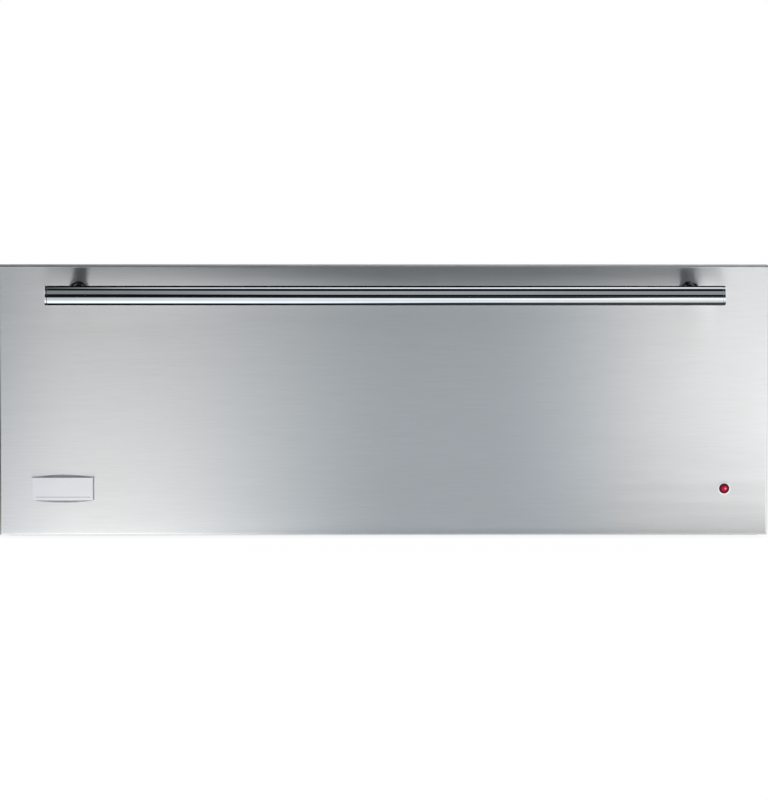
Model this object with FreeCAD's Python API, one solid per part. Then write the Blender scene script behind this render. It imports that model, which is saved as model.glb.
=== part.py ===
"""Warming drawer for a kitchen cabinet, 30 inches wide, with a full stainless front.

A double-walled steel chassis holds a heating element under a pan.  The pan hangs in
a drawer that runs on two three-part ball slides.  The drawer's front carries a bar
handle, a nameplate and a pilot lamp, and behind it a shelf with the thermostat knob
and the moisture vent, which show only when the drawer is open.

Millimetres.  X to the right seen from the front, Y to the rear, Z up.  The origin is
the centre of the chassis's underside.  The drawer is closed.
"""

import FreeCAD
import Part

import math
import os

Vec = FreeCAD.Vector

# ------------------------------------------------------------------ driving sizes

# front panel: a folded stainless tray that covers the cabinet's opening
PANEL_WIDTH = 756.0
PANEL_HEIGHT = 265.8
PANEL_DEPTH = 22.0
PANEL_SHEET = 1.2
PANEL_BEND = 2.0  # outside radius of its folds
PANEL_LIFT = 3.0  # its lower edge above the shelf that the chassis stands on
BACKING_SHEET = 1.2

# chassis
PANEL_LAP = 17.5  # the front beyond each side of the top cover's flanges
CHASSIS_HEIGHT = 224.0
CHASSIS_DEPTH = 520.0
CASE_SHEET = 1.0
CASE_BEND = 1.5  # folds of the casing, to the middle of the sheet
FRAME_SHEET = 1.2
LINER_SHEET = 0.8
LINER_BEND = 3.0  # inside radius of the liner's long folds
INSULATION_GAP = 20.0  # between the liner and the casing, all round
FRAME_LUG = 12.0  # front frame beyond each side of the chassis
SEAL_GAP = 3.0  # between the front frame and the closed front

# casing details
COVER_FLANGE = 14.0
BEAD_DEPTH = 1.5
BEAD_WIDTH = 14.0
BEAD_END = 60.0  # bare sheet at each end of a stiffening bead
SIDE_BEAD_HEIGHTS = (70.0, 150.0)
TOP_BEAD_PITCH = 180.0
REAR_FLANGE = 12.0

# cabinet screws, through the front frame's lugs
CABINET_HOLE_R = 2.25
CABINET_HOLE_LOW = 45.0
CABINET_HOLE_TOP = 44.0  # upper holes below the chassis's top

# slides
SLIDE_BACK_CLEAR = 14.0  # slide's rear end to the liner's back
SLIDE_HEIGHT = 50.0
SLIDE_SHEET = 1.2
SLIDE_DROP = 56.0  # slide's centre below the pan's seat
SLIDE_SETBACK = 13.0  # behind the front frame
SLIDE_BEND = 1.2
BALL_R = 2.0
RACE_CLEAR = 0.15
MEMBER_GAP = 0.5
CAGE_SHEET = 0.6
GROOVE_HALF_ANGLE = 28.0
GROOVE_SHOULDER = 0.8
GROOVE_PITCH = 4.0  # sideways, from the outer ball row to the inner one
HOOK_ANGLE = 98.0
BALLS_PER_ROW = 5
BALL_PITCH = 26.0
CAGE_MARGIN = 10.0  # cage beyond its last ball
CAGE_HOLE_CLEAR = 0.1
CAGE_REACH = 1.9  # cage flange beyond its balls' centres
SLIDE_RIVET_R = 2.4
SLIDE_RIVET_HEAD_R = 4.5
SLIDE_RIVET_HEAD = 1.8

# slide release levers
LEVER_LENGTH = 66.0
LEVER_WIDTH = 8.0
LEVER_SHEET = 1.8
LEVER_PLACE = 190.0  # pivot behind the slide's front end
LEVER_PIN_R = 1.5
LEVER_PIN_CLEAR = 0.05
LEVER_SWING = 6.0  # degrees each way

# drawer box
RAIL_SHEET = 1.5
RAIL_DROP = 22.0  # side rail's lower edge below the slide's centre
RAIL_GUSSET_DROP = 38.0  # and lower still at the front
RAIL_GUSSET_LENGTH = 52.0
SEAT_WIDTH = 12.0
RAIL_FOOT = 22.0  # front flange of each rail, turned in against the backing panel
BACK_RAIL_HEIGHT = 42.0

# pan
PAN_SHEET = 0.8
PAN_WALL_CLEAR = 2.0  # between the pan's wall and the seat flange
PAN_RIM_CLEAR = 1.5  # between the pan's rim and what stands round it
PAN_OVER_FLOOR = 30.2  # pan's underside above the liner's floor
PAN_CORNER_R = 14.0
PAN_FLOOR_R = 12.0
PAN_TAPER = 4.0  # the wall leans in by this much at the floor

# control shelf
SHELF_DEPTH = 54.0
SHELF_HEIGHT = 54.0
SHELF_SHEET = 1.2
SHELF_LIP = 10.0
FASCIA_SHEET = 1.2
FASCIA_SKIRT = 6.0

# thermostat and knob
KNOB_INSET = 115.6  # knob's axis to the side rail
KNOB_HEADROOM = 8.8  # knob's top to the liner's ceiling
KNOB_R = 17.0
KNOB_SKIRT_R = 20.0
KNOB_SKIRT = 3.0
KNOB_HEIGHT = 17.0
KNOB_FLUTES = 14
KNOB_FLUTE_R = 2.4
KNOB_FLUTE_BITE = 0.9
KNOB_GAP = 0.4  # between the knob and the dial plate
KNOB_TURN = 285.0  # degrees, clockwise from off
SHAFT_R = 3.0
SHAFT_FLAT = 1.2
SHAFT_CLEAR = 0.06
SHAFT_GRIP = 11.0
NECK_R = 5.0
DIAL_R = 25.0
DIAL_SHEET = 0.8
STAT_WIDTH = 44.0
STAT_DEPTH = 32.0
STAT_HEIGHT = 26.0
TAB_WIDTH = 6.3
TAB_LENGTH = 8.0
TAB_SHEET = 0.8
BULB_R = 3.0
BULB_LENGTH = 90.0
BULB_SETBACK = 36.0  # bulb's end beside the knob's axis
BULB_GAP = 2.5  # bulb to the shelf's rear wall
CAPILLARY_R = 0.9

# moisture vent
VENT_INSET = 115.6  # vent's centre to the side rail
VENT_SLOTS = 8
VENT_PITCH = 15.0
VENT_SLOT_WIDTH = 6.5
VENT_SLOT_LENGTH = 18.0
VENT_TRAVEL = 7.5
VENT_SHEET = 1.0
VENT_GAP = 0.3
VENT_MARGIN = 14.0
VENT_SIDE = 4.5  # slider beyond the ends of its slots
THUMB_WIDTH = 12.0
THUMB_HEIGHT = 7.0
THUMB_SHEET = 3.0
VENT_RIVET_R = 2.0
VENT_RIVET_HEAD_R = 4.0
VENT_RIVET_HEAD = 1.2

# handle
HANDLE_R = 9.5
HANDLE_WALL = 1.5
HANDLE_INSET = 47.8  # handle's end to the front's edge
HANDLE_STANDOFF = 60.0  # panel face to the bar's axis
HANDLE_DROP = 25.0  # panel's top edge to the bar's axis
POST_INSET = 30.5  # post's axis to the handle's end
POST_R = 7.2
POST_FOOT_R = 10.0
POST_FOOT = 4.0
POST_FILLET = 1.5
CAP_THICKNESS = 2.4
CAP_EDGE = 2.0
CAP_PLUG = 9.0
CAP_CLEAR = 0.1
HANDLE_SCREW_R = 3.0
HANDLE_SCREW_CLEAR = 0.25
HANDLE_SCREW_BITE = 14.0
HANDLE_SCREW_HEAD_R = 5.5
HANDLE_SCREW_HEAD = 4.0

# nameplate and pilot lamp, on one level
BADGE_INSET = 62.5  # nameplate's centre to the front's left edge
MARK_HEIGHT = 46.0  # above the panel's lower edge
BADGE_WIDTH = 61.5
BADGE_HEIGHT = 22.6  # at its straight ends
BADGE_BOW = 2.3  # how far each long edge bows out
BADGE_THICKNESS = 1.8
BADGE_PIN_R = 1.2
BADGE_PIN_SPACING = 40.0
LAMP_INSET = 42.6  # lamp's centre to the front's right edge
LENS_R = 5.0
LENS_DOME = 2.2
BEZEL_R = 6.3
BEZEL_RISE = 0.9
LAMP_CLEAR = 0.1
HOLDER_R = 6.0
HOLDER_LENGTH = 13.0

# heater
ELEMENT_R = 4.0
ELEMENT_HEIGHT = 15.0  # axis above the liner's floor
ELEMENT_BEND = 22.0
ELEMENT_SIDE = 49.7  # outermost run to the liner's wall
ELEMENT_RUNS = 5  # lengthwise runs each side of the middle
ELEMENT_AHEAD = 95.0  # cross run behind the front frame's face
ELEMENT_TURN_AHEAD = 160.0  # the same for the forward turns
ELEMENT_TURN_BEHIND = 48.2  # rear turns to the liner's back
CERAMIC_R = 6.0
CERAMIC_LENGTH = 9.0
RACK_RAIL_SHEET = 1.2
RACK_RAIL_HEIGHT = 22.0
RACK_RAIL_FOOT = 9.0
RACK_RAIL_AHEAD = 200.0  # front strip behind the front frame's face
RACK_RAIL_BEHIND = 108.2  # rear strip to the liner's back
ELEMENT_HOLE_CLEAR = 0.3
CUTOUT_R = 9.0
CUTOUT_LENGTH = 9.0
CUTOUT_X = 150.0
CUTOUT_HEIGHT = 90.0

# mains entry, in the chassis's back
JUNCTION_INSET = 109.5  # its centre to the casing's side
JUNCTION_HEIGHT = 70.0
JUNCTION_WIDTH = 96.0
JUNCTION_TALL = 62.0
JUNCTION_LAP = 9.0
JUNCTION_SHEET = 1.0
GLAND_BORE_R = 4.2
GLAND_BODY_R = 8.0
GLAND_HEAD_R = 11.0
GLAND_HEAD = 7.0
GLAND_TAIL = 8.0
BLOCK_WIDTH = 44.0
BLOCK_DEPTH = 11.0
BLOCK_HEIGHT = 20.0
BREATHER_SLOTS = 12
BREATHER_PITCH = 14.0
BREATHER_WIDTH = 4.0
BREATHER_LENGTH = 34.0

# wire rack
RACK_WIRE_R = 1.6
RACK_FRAME_R = 2.6
RACK_FOOT = 9.0
RACK_WIRES = 19
RACK_INSET = 16.0
RACK_CORNER = 16.0

# small fasteners
SCREW_SHANK_R = 1.7
SCREW_BITE = 3.0
SCREW_HEX_R = 3.6  # across the corners, halved
SCREW_HEX = 2.4
SCREW_WASHER_R = 4.6
SCREW_WASHER = 0.8
PAN_SCREW_R = 3.4
PAN_SCREW_HEAD = 1.8
HOLE_CLEAR = 0.15
SEAT_CLEAR = 0.3  # between two pieces that move past each other
WADDING_CLEAR = 0.4  # insulation to its neighbours
GASKET_WIDTH = 8.0
GASKET_INSET = 4.0
BUMPER_R = 5.0

# ---------------------------------------------------------------- worked-out places

CHASSIS_WIDTH = PANEL_WIDTH - 2 * PANEL_LAP  # over the top cover's side flanges
FRAME_FACE = -CHASSIS_DEPTH / 2
FRAME_BACK = FRAME_FACE + FRAME_SHEET
REAR_FACE = CHASSIS_DEPTH / 2
REAR_INSIDE = REAR_FACE - CASE_SHEET
PANEL_BACK = FRAME_FACE - SEAL_GAP
PANEL_FACE = PANEL_BACK - PANEL_DEPTH
PANEL_INSIDE = PANEL_FACE + PANEL_SHEET
BACKING_FACE = PANEL_BACK - BACKING_SHEET
PANEL_TOP = PANEL_LIFT + PANEL_HEIGHT

CASE_X = CHASSIS_WIDTH / 2 - CASE_SHEET  # outside of the base's sides
CASE_INSIDE_X = CASE_X - CASE_SHEET
CASE_TOP = CHASSIS_HEIGHT - CASE_SHEET - (CASE_BEND - CASE_SHEET / 2)  # clear of the lid's folds
LINER_OUT_X = CASE_INSIDE_X - INSULATION_GAP
LINER_X = LINER_OUT_X - LINER_SHEET
LINER_FLOOR = CASE_SHEET + INSULATION_GAP + LINER_SHEET
LINER_UNDER = LINER_FLOOR - LINER_SHEET
LINER_OVER = CHASSIS_HEIGHT - CASE_SHEET - INSULATION_GAP
LINER_CEILING = LINER_OVER - LINER_SHEET
LINER_OUT_Y = REAR_INSIDE - INSULATION_GAP
LINER_BACK = LINER_OUT_Y - LINER_SHEET

# heights in the drawer hang from the liner's ceiling, over the knob
SEAT_HEIGHT = (LINER_CEILING - KNOB_HEADROOM - KNOB_HEIGHT - KNOB_GAP - DIAL_SHEET
               - FASCIA_SHEET)  # top of the flange that the pan's rim rests on
SLIDE_CENTRE = SEAT_HEIGHT - SLIDE_DROP
RAIL_LOW = SLIDE_CENTRE - RAIL_DROP
RAIL_GUSSET_LOW = RAIL_LOW - RAIL_GUSSET_DROP
BACK_RAIL_LOW = SEAT_HEIGHT - BACK_RAIL_HEIGHT
SHELF_LOW = SEAT_HEIGHT - SHELF_HEIGHT
PAN_BOTTOM = LINER_FLOOR + PAN_OVER_FLOOR

SLIDE_FRONT = FRAME_BACK + SLIDE_SETBACK
SLIDE_LENGTH = LINER_BACK - SLIDE_BACK_CLEAR - SLIDE_FRONT
RACE_R = BALL_R + RACE_CLEAR + SLIDE_SHEET / 2  # ball centre to a member's mid-sheet
GROOVE_ANGLE = math.radians(GROOVE_HALF_ANGLE)
GROOVE_DROP = (RACE_R + GROOVE_SHOULDER) * (1 - math.cos(GROOVE_ANGLE))
GROOVE_HALF = (RACE_R + GROOVE_SHOULDER) * math.sin(GROOVE_ANGLE)
# sideways places in a slide, from the liner's wall towards the drawer
OUTER_WEB = SLIDE_SHEET / 2
OUTER_CAGE_WEB = SLIDE_SHEET + MEMBER_GAP
MIDDLE_WEB = OUTER_CAGE_WEB + CAGE_SHEET + MEMBER_GAP + SLIDE_SHEET / 2
OUTER_ROW = MIDDLE_WEB + SLIDE_BEND + GROOVE_HALF + 0.3
INNER_ROW = OUTER_ROW + GROOVE_PITCH
INNER_WEB = INNER_ROW + RACE_R + SLIDE_SHEET / 2 + MEMBER_GAP + SLIDE_SHEET / 2
SLIDE_THICKNESS = INNER_WEB + SLIDE_SHEET / 2
INNER_CAGE_WEB = MIDDLE_WEB + SLIDE_SHEET / 2 + MEMBER_GAP
# heights in a slide, from its centre
OUTER_FLANGE = SLIDE_HEIGHT / 2 - SLIDE_SHEET / 2
OUTER_ROW_UP = OUTER_FLANGE - RACE_R
MIDDLE_FLANGE = OUTER_ROW_UP - RACE_R + GROOVE_DROP
INNER_ROW_UP = MIDDLE_FLANGE - RACE_R
INNER_FLANGE = INNER_ROW_UP - RACE_R + GROOVE_DROP

RAIL_OUT_X = LINER_X - SLIDE_THICKNESS
RAIL_X = RAIL_OUT_X - RAIL_SHEET
DRAWER_BACK = LINER_BACK - SLIDE_BACK_CLEAR
SEAT_UNDER = SEAT_HEIGHT - RAIL_SHEET
SHELF_FRONT = PANEL_BACK
SHELF_BACK = SHELF_FRONT + SHELF_DEPTH
SHELF_MID = (SHELF_FRONT + SHELF_BACK) / 2
KNOB_X = RAIL_X - KNOB_INSET
VENT_X = -(RAIL_X - VENT_INSET)
FASCIA_TOP = SEAT_HEIGHT + FASCIA_SHEET

PAN_X = RAIL_X - SEAT_WIDTH - PAN_WALL_CLEAR
PAN_RIM_X = RAIL_X - PAN_RIM_CLEAR
PAN_RIM_FRONT = SHELF_BACK + PAN_RIM_CLEAR
PAN_RIM_BACK = DRAWER_BACK - RAIL_SHEET - PAN_RIM_CLEAR
PAN_FRONT = PAN_RIM_FRONT + SEAT_WIDTH + PAN_WALL_CLEAR - PAN_RIM_CLEAR
PAN_BACK = PAN_RIM_BACK - SEAT_WIDTH - PAN_WALL_CLEAR + PAN_RIM_CLEAR
PAN_RIM_TOP = SEAT_HEIGHT + PAN_SHEET

HANDLE_LENGTH = PANEL_WIDTH - 2 * HANDLE_INSET
POST_SPACING = HANDLE_LENGTH - 2 * POST_INSET
HANDLE_Y = PANEL_FACE - HANDLE_STANDOFF
HANDLE_Z = PANEL_TOP - HANDLE_DROP
MARK_Z = PANEL_LIFT + MARK_HEIGHT
BADGE_X = -(PANEL_WIDTH / 2 - BADGE_INSET)
LAMP_X = PANEL_WIDTH / 2 - LAMP_INSET
ELEMENT_Z = LINER_FLOOR + ELEMENT_HEIGHT
ELEMENT_PITCH = (LINER_X - ELEMENT_SIDE) / (ELEMENT_RUNS - 0.5)
ELEMENT_FRONT = FRAME_FACE + ELEMENT_AHEAD
ELEMENT_TURN_FRONT = FRAME_FACE + ELEMENT_TURN_AHEAD
ELEMENT_TURN_REAR = LINER_BACK - ELEMENT_TURN_BEHIND
RACK_RAIL_PLACES = (FRAME_FACE + RACK_RAIL_AHEAD, LINER_BACK - RACK_RAIL_BEHIND)
JUNCTION_X = CASE_X - JUNCTION_INSET
CABINET_HOLE_HIGH = CHASSIS_HEIGHT - CABINET_HOLE_TOP
CABINET_HOLE_X = CHASSIS_WIDTH / 2 + FRAME_LUG / 2

# ------------------------------------------------------------------------ helpers


def block(x0, x1, y0, y1, z0, z1):
    """A box between two corners."""
    return Part.makeBox(x1 - x0, y1 - y0, z1 - z0, Vec(x0, y0, z0))


def rod(start, end, radius):
    """A round bar between two points."""
    along = end - start
    return Part.makeCylinder(radius, along.Length, start, along)


def cone(start, end, start_radius, end_radius):
    along = end - start
    return Part.makeCone(start_radius, end_radius, along.Length, start, along)


def mirrored(shape):
    """The same piece on the other side of the object."""
    return shape.mirror(Vec(0, 0, 0), Vec(1, 0, 0))


def both_sides(shape):
    return [shape, mirrored(shape)]


def joined(shapes):
    """One solid from overlapping ones, without the seams between them."""
    first, rest = shapes[0], shapes[1:]
    return first.multiFuse(rest).removeSplitter() if rest else first


def cut_away(shape, tools):
    return shape.cut(Part.Compound(tools)) if tools else shape


def rounded_block(x0, x1, y0, y1, z0, z1, radius, axis):
    """A box with the four edges that run along axis rounded."""
    shape = block(x0, x1, y0, y1, z0, z1)
    if radius <= 0:
        return shape
    edges = [e for e in shape.Edges if abs(e.tangentAt(e.FirstParameter).dot(axis)) > 0.99]
    return shape.makeFillet(radius, edges)


def slot_cutter(x, y, length, width, z0, z1, along_y=True):
    """An upright slug with round ends, to cut a slot."""
    radius, half = width / 2, length / 2 - width / 2
    if along_y:
        ends = [Vec(x, y - half, z0), Vec(x, y + half, z0)]
        middle = block(x - radius, x + radius, y - half, y + half, z0, z1)
    else:
        ends = [Vec(x - half, y, z0), Vec(x + half, y, z0)]
        middle = block(x - half, x + half, y - radius, y + radius, z0, z1)
    caps = [Part.makeCylinder(radius, z1 - z0, end) for end in ends]
    return joined([middle] + caps)


def follow(start, heading, moves, side=0.0):
    """Edges of a flat path that is `side` to the left of a turtle's path.

    A move is ("run", length) or ("bend", radius, degrees), left turns positive.
    Returns the edges, as point lists, and the turtle's last place and heading.
    """
    x, y = start
    angle = math.radians(heading)
    edges = []

    def beside(px, py, facing):
        return (px - side * math.sin(facing), py + side * math.cos(facing))

    for move in moves:
        if move[0] == "run":
            nx, ny = x + move[1] * math.cos(angle), y + move[1] * math.sin(angle)
            edges.append([beside(x, y, angle), beside(nx, ny, angle)])
        else:
            radius, turn = move[1], math.radians(move[2])
            hand = 1 if turn > 0 else -1
            cx, cy = x - hand * radius * math.sin(angle), y + hand * radius * math.cos(angle)
            points = []
            for share in (0, 0.5, 1):
                facing = angle + turn * share
                px = cx + hand * radius * math.sin(facing)
                py = cy - hand * radius * math.cos(facing)
                points.append(beside(px, py, facing))
            edges.append(points)
            nx = cx + hand * radius * math.sin(angle + turn)
            ny = cy - hand * radius * math.cos(angle + turn)
            angle += turn
        x, y = nx, ny
    return edges, (x, y), math.degrees(angle)


def sheet_face(start, heading, moves, thickness, place):
    """The cross-section of a folded sheet whose middle follows the moves."""
    left, _, _ = follow(start, heading, moves, thickness / 2)
    right, _, _ = follow(start, heading, moves, -thickness / 2)
    outline = left + [[left[-1][-1], right[-1][-1]]]
    outline += [list(reversed(points)) for points in reversed(right)]
    outline += [[right[0][0], left[0][0]]]
    edges = []
    for points in outline:
        corners = [place(*p) for p in points]
        if len(corners) == 3:
            edges.append(Part.Arc(*corners).toShape())
        else:
            edges.append(Part.LineSegment(*corners).toShape())
    return Part.Face(Part.Wire(edges))


def folded_along_y(start, heading, moves, thickness, y0, y1):
    """A folded sheet of constant section; the moves are in X and Z."""
    face = sheet_face(start, heading, moves, thickness, lambda u, w: Vec(u, y0, w))
    return face.extrude(Vec(0, y1 - y0, 0))


def folded_along_x(start, heading, moves, thickness, x0, x1):
    """A folded sheet of constant section; the moves are in Y and Z."""
    face = sheet_face(start, heading, moves, thickness, lambda u, w: Vec(x0, u, w))
    return face.extrude(Vec(x1 - x0, 0, 0))


def frustum(centre, along, across, normal, length, width, height):
    """A block with four sloping sides, as a stiffening bead presses it into a sheet."""

    def outline(lift, inset):
        a, b = along * (length / 2 - inset), across * (width / 2 - inset)
        middle = centre + normal * lift
        return Part.makePolygon([middle + a + b, middle - a + b, middle - a - b, middle + a - b,
                                 middle + a + b])

    return Part.makeLoft([outline(0, 0), outline(height, height)], True, True)


def beaded(sheet, centre, along, across, inward, length):
    """Presses one bead into a sheet; centre lies on the sheet's outside."""
    ridge = frustum(centre, along, across, inward, length, BEAD_WIDTH, BEAD_DEPTH + CASE_SHEET)
    groove = frustum(centre - inward * CASE_SHEET, along, across, inward, length, BEAD_WIDTH,
                     BEAD_DEPTH + CASE_SHEET)
    return sheet.fuse(ridge).cut(groove).removeSplitter()


def pipe(points, bend, radius):
    """A round wire through the points, with its corners rounded."""
    edges = []
    here = points[0]
    for before, corner, after in zip(points, points[1:], points[2:]):
        into, out = (corner - before).normalize(), (after - corner).normalize()
        half = into.getAngle(out) / 2
        trim = bend * math.tan(half)
        first, last = corner - into * trim, corner + out * trim
        inward = (out - into).normalize()
        middle = corner + inward * (bend / math.cos(half) - bend)
        edges.append(Part.LineSegment(here, first).toShape())
        edges.append(Part.Arc(first, middle, last).toShape())
        here = last
    edges.append(Part.LineSegment(here, points[-1]).toShape())
    path = Part.Wire(edges)
    circle = Part.Wire(Part.makeCircle(radius, points[0], points[1] - points[0]))
    return path.makePipeShell([circle], True, False)


def turned(profile, base, axis):
    """A solid of revolution: the profile is (radius, distance along the axis) pairs."""
    side = axis.cross(Vec(0, 0, 1))
    if side.Length < 0.1:
        side = Vec(1, 0, 0)
    side.normalize()
    points = [base + side * r + axis * h for r, h in profile]
    face = Part.Face(Part.makePolygon(points + [points[0]]))
    return face.revolve(base, axis, 360)


def hex_screw(head_seat, outward, bite=SCREW_BITE):
    """A hex washer-head sheet-metal screw, seated on head_seat."""
    washer_top = head_seat + outward * SCREW_WASHER
    side = outward.cross(Vec(0, 0, 1))
    if side.Length < 0.1:
        side = Vec(1, 0, 0)
    side.normalize()
    corners = []
    for step in range(7):
        turn = FreeCAD.Rotation(outward, 60 * step)
        corners.append(washer_top + turn.multVec(side) * SCREW_HEX_R)
    head = Part.Face(Part.makePolygon(corners)).extrude(outward * SCREW_HEX)
    washer = rod(head_seat, washer_top, SCREW_WASHER_R)
    shank = rod(head_seat - outward * bite, head_seat, SCREW_SHANK_R)
    return joined([washer, head, shank])


def pan_screw(head_seat, outward, bite=SCREW_BITE):
    """A pan-head screw with a domed head, seated on head_seat."""
    head = turned([(0, 0), (PAN_SCREW_R, 0), (PAN_SCREW_R, PAN_SCREW_HEAD * 0.5),
                   (PAN_SCREW_R * 0.75, PAN_SCREW_HEAD), (0, PAN_SCREW_HEAD)], head_seat, outward)
    shank = rod(head_seat - outward * bite, head_seat, SCREW_SHANK_R)
    return joined([head, shank])


def screw_hole(head_seat, outward, bite=SCREW_BITE, extra=HOLE_CLEAR):
    """The hole that a screw's shank passes through."""
    return rod(head_seat - outward * (bite + 1), head_seat + outward, SCREW_SHANK_R + extra)


# ------------------------------------------------------------------- screw places


def cover_screws():
    """Seats and directions of the top cover's side screws."""
    z = CHASSIS_HEIGHT - COVER_FLANGE / 2 - 1
    places = []
    for y in (-CHASSIS_DEPTH * 0.36, 0.0, CHASSIS_DEPTH * 0.36):
        places.append((Vec(CHASSIS_WIDTH / 2, y, z), Vec(1, 0, 0)))
        places.append((Vec(-CHASSIS_WIDTH / 2, y, z), Vec(-1, 0, 0)))
    return places


def rear_screws():
    """Through the base's sides into the rear panel's flanges."""
    y = REAR_FACE - REAR_FLANGE / 2 - 0.5
    places = []
    for z in (CHASSIS_HEIGHT * 0.2, CHASSIS_HEIGHT * 0.5, CHASSIS_HEIGHT * 0.8):
        places.append((Vec(CASE_X, y, z), Vec(1, 0, 0)))
        places.append((Vec(-CASE_X, y, z), Vec(-1, 0, 0)))
    return places


def junction_screws():
    x = JUNCTION_WIDTH / 2 + JUNCTION_LAP / 2
    seat = REAR_FACE + JUNCTION_SHEET
    return [(Vec(JUNCTION_X + side * x, seat, JUNCTION_HEIGHT), Vec(0, 1, 0)) for side in (-1, 1)]


def shelf_screws():
    """Pan-head screws that hold the fascia on the control shelf's lips."""
    ends = RAIL_X - 22
    places = []
    for x in (-ends, 0.0, ends):
        for y in (SHELF_FRONT + SHELF_LIP / 2 + 1, SHELF_BACK - SHELF_LIP / 2 - 1):
            places.append((Vec(x, y, FASCIA_TOP), Vec(0, 0, 1)))
    return places


def front_screws():
    """Hex screws that hold the drawer's rails and shelf to the backing panel."""
    places = []
    foot_x = RAIL_X - RAIL_FOOT / 2
    for z in (RAIL_GUSSET_LOW + 12, SHELF_LOW - 14):
        for side in (-1, 1):
            places.append((Vec(side * foot_x, PANEL_BACK + RAIL_SHEET, z), Vec(0, 1, 0)))
    for x in (-RAIL_X * 0.66, 0.0, RAIL_X * 0.66):
        place = Vec(x, SHELF_FRONT + SHELF_SHEET, SHELF_LOW + 16)
        places.append((place, Vec(0, 1, 0)))
    return places


def slide_rivet_places():
    """Rivets of one slide: distances along Y."""
    return [SLIDE_FRONT + SLIDE_LENGTH * share for share in (0.07, 0.5, 0.93)]


# ---------------------------------------------------------------------- chassis


def chassis_base():
    """Floor and sides of the casing, one folded sheet with stiffening beads."""
    mid, bend = CASE_SHEET / 2, CASE_BEND
    wall = CASE_TOP - mid - bend
    floor = 2 * (CASE_X - mid - bend)
    moves = [("run", wall), ("bend", bend, 90), ("run", floor), ("bend", bend, 90), ("run", wall)]
    start = (-(CASE_X - mid), CASE_TOP)
    shape = folded_along_y(start, -90, moves, CASE_SHEET, FRAME_BACK, REAR_INSIDE)
    length = CHASSIS_DEPTH - 2 * BEAD_END
    for z in SIDE_BEAD_HEIGHTS:
        for side in (-1, 1):
            centre = Vec(side * CASE_X, 0, z)
            shape = beaded(shape, centre, Vec(0, 1, 0), Vec(0, 0, 1), Vec(-side, 0, 0), length)
    holes = [screw_hole(seat, out, SCREW_BITE) for seat, out in cover_screws() + rear_screws()]
    return cut_away(shape, holes)


def chassis_top_cover():
    """The lid of the casing, with flanges down outside the base's sides."""
    mid, bend = CASE_SHEET / 2, CASE_BEND
    drop = COVER_FLANGE - mid - bend
    across = CHASSIS_WIDTH - CASE_SHEET - 2 * bend
    moves = [("run", drop), ("bend", bend, -90), ("run", across), ("bend", bend, -90), ("run", drop)]
    start = (-(CHASSIS_WIDTH / 2 - mid), CHASSIS_HEIGHT - COVER_FLANGE)
    shape = folded_along_y(start, 90, moves, CASE_SHEET, FRAME_BACK, REAR_FACE)
    length = CHASSIS_DEPTH - 2 * BEAD_END
    for step in (-1, 0, 1):
        centre = Vec(step * TOP_BEAD_PITCH, 0, CHASSIS_HEIGHT)
        shape = beaded(shape, centre, Vec(0, 1, 0), Vec(1, 0, 0), Vec(0, 0, -1), length)
    return cut_away(shape, [screw_hole(seat, out) for seat, out in cover_screws()])


def chassis_rear_panel():
    """The back of the casing: side flanges, breather slots and a junction opening."""
    # the sheet lies behind the base's sides, its flanges lie inside them
    plate = block(-CASE_X, CASE_X, REAR_INSIDE, REAR_FACE, 0, CASE_TOP)
    flange = block(CASE_INSIDE_X - CASE_SHEET, CASE_INSIDE_X, REAR_FACE - REAR_FLANGE,
                   REAR_FACE - CASE_SHEET / 2, LINER_UNDER, LINER_OVER)
    flanges = both_sides(flange)
    shape = joined([plate] + flanges)
    opening = block(JUNCTION_X - JUNCTION_WIDTH / 2, JUNCTION_X + JUNCTION_WIDTH / 2,
                    REAR_INSIDE - CASE_SHEET, REAR_FACE + CASE_SHEET,
                    JUNCTION_HEIGHT - JUNCTION_TALL / 2, JUNCTION_HEIGHT + JUNCTION_TALL / 2)
    tools = [opening]
    for index in range(BREATHER_SLOTS):
        x = (index - (BREATHER_SLOTS - 1) / 2) * BREATHER_PITCH
        slug = slot_cutter(x, 0, BREATHER_LENGTH, BREATHER_WIDTH, -CASE_SHEET, 2 * CASE_SHEET)
        slug.rotate(Vec(0, 0, 0), Vec(1, 0, 0), 90)
        slug.translate(Vec(0, REAR_FACE, CHASSIS_HEIGHT / 2))
        tools.append(slug)
    tools += [screw_hole(seat, out) for seat, out in rear_screws() + junction_screws()]
    return cut_away(shape, tools)


def front_frame():
    """The ring round the chassis's mouth; its lugs take the cabinet screws."""
    half = CHASSIS_WIDTH / 2 + FRAME_LUG
    plate = rounded_block(-half, half, FRAME_FACE, FRAME_BACK, 0, CHASSIS_HEIGHT, 3, Vec(0, 1, 0))
    mouth = rounded_block(-LINER_X, LINER_X, FRAME_FACE - 1, FRAME_BACK + 1, LINER_FLOOR,
                          LINER_CEILING, LINER_BEND, Vec(0, 1, 0))
    tools = [mouth]
    for side in (-1, 1):
        for z in (CABINET_HOLE_LOW, CABINET_HOLE_HIGH):
            x = side * CABINET_HOLE_X
            tools.append(rod(Vec(x, FRAME_FACE - 1, z), Vec(x, FRAME_BACK + 1, z), CABINET_HOLE_R))
    return cut_away(plate, tools)


def element_ends():
    """Where the element passes through the liner's back."""
    half = ELEMENT_PITCH / 2
    return [Vec(-half, LINER_BACK, ELEMENT_Z), Vec(half, LINER_BACK, ELEMENT_Z)]


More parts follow.
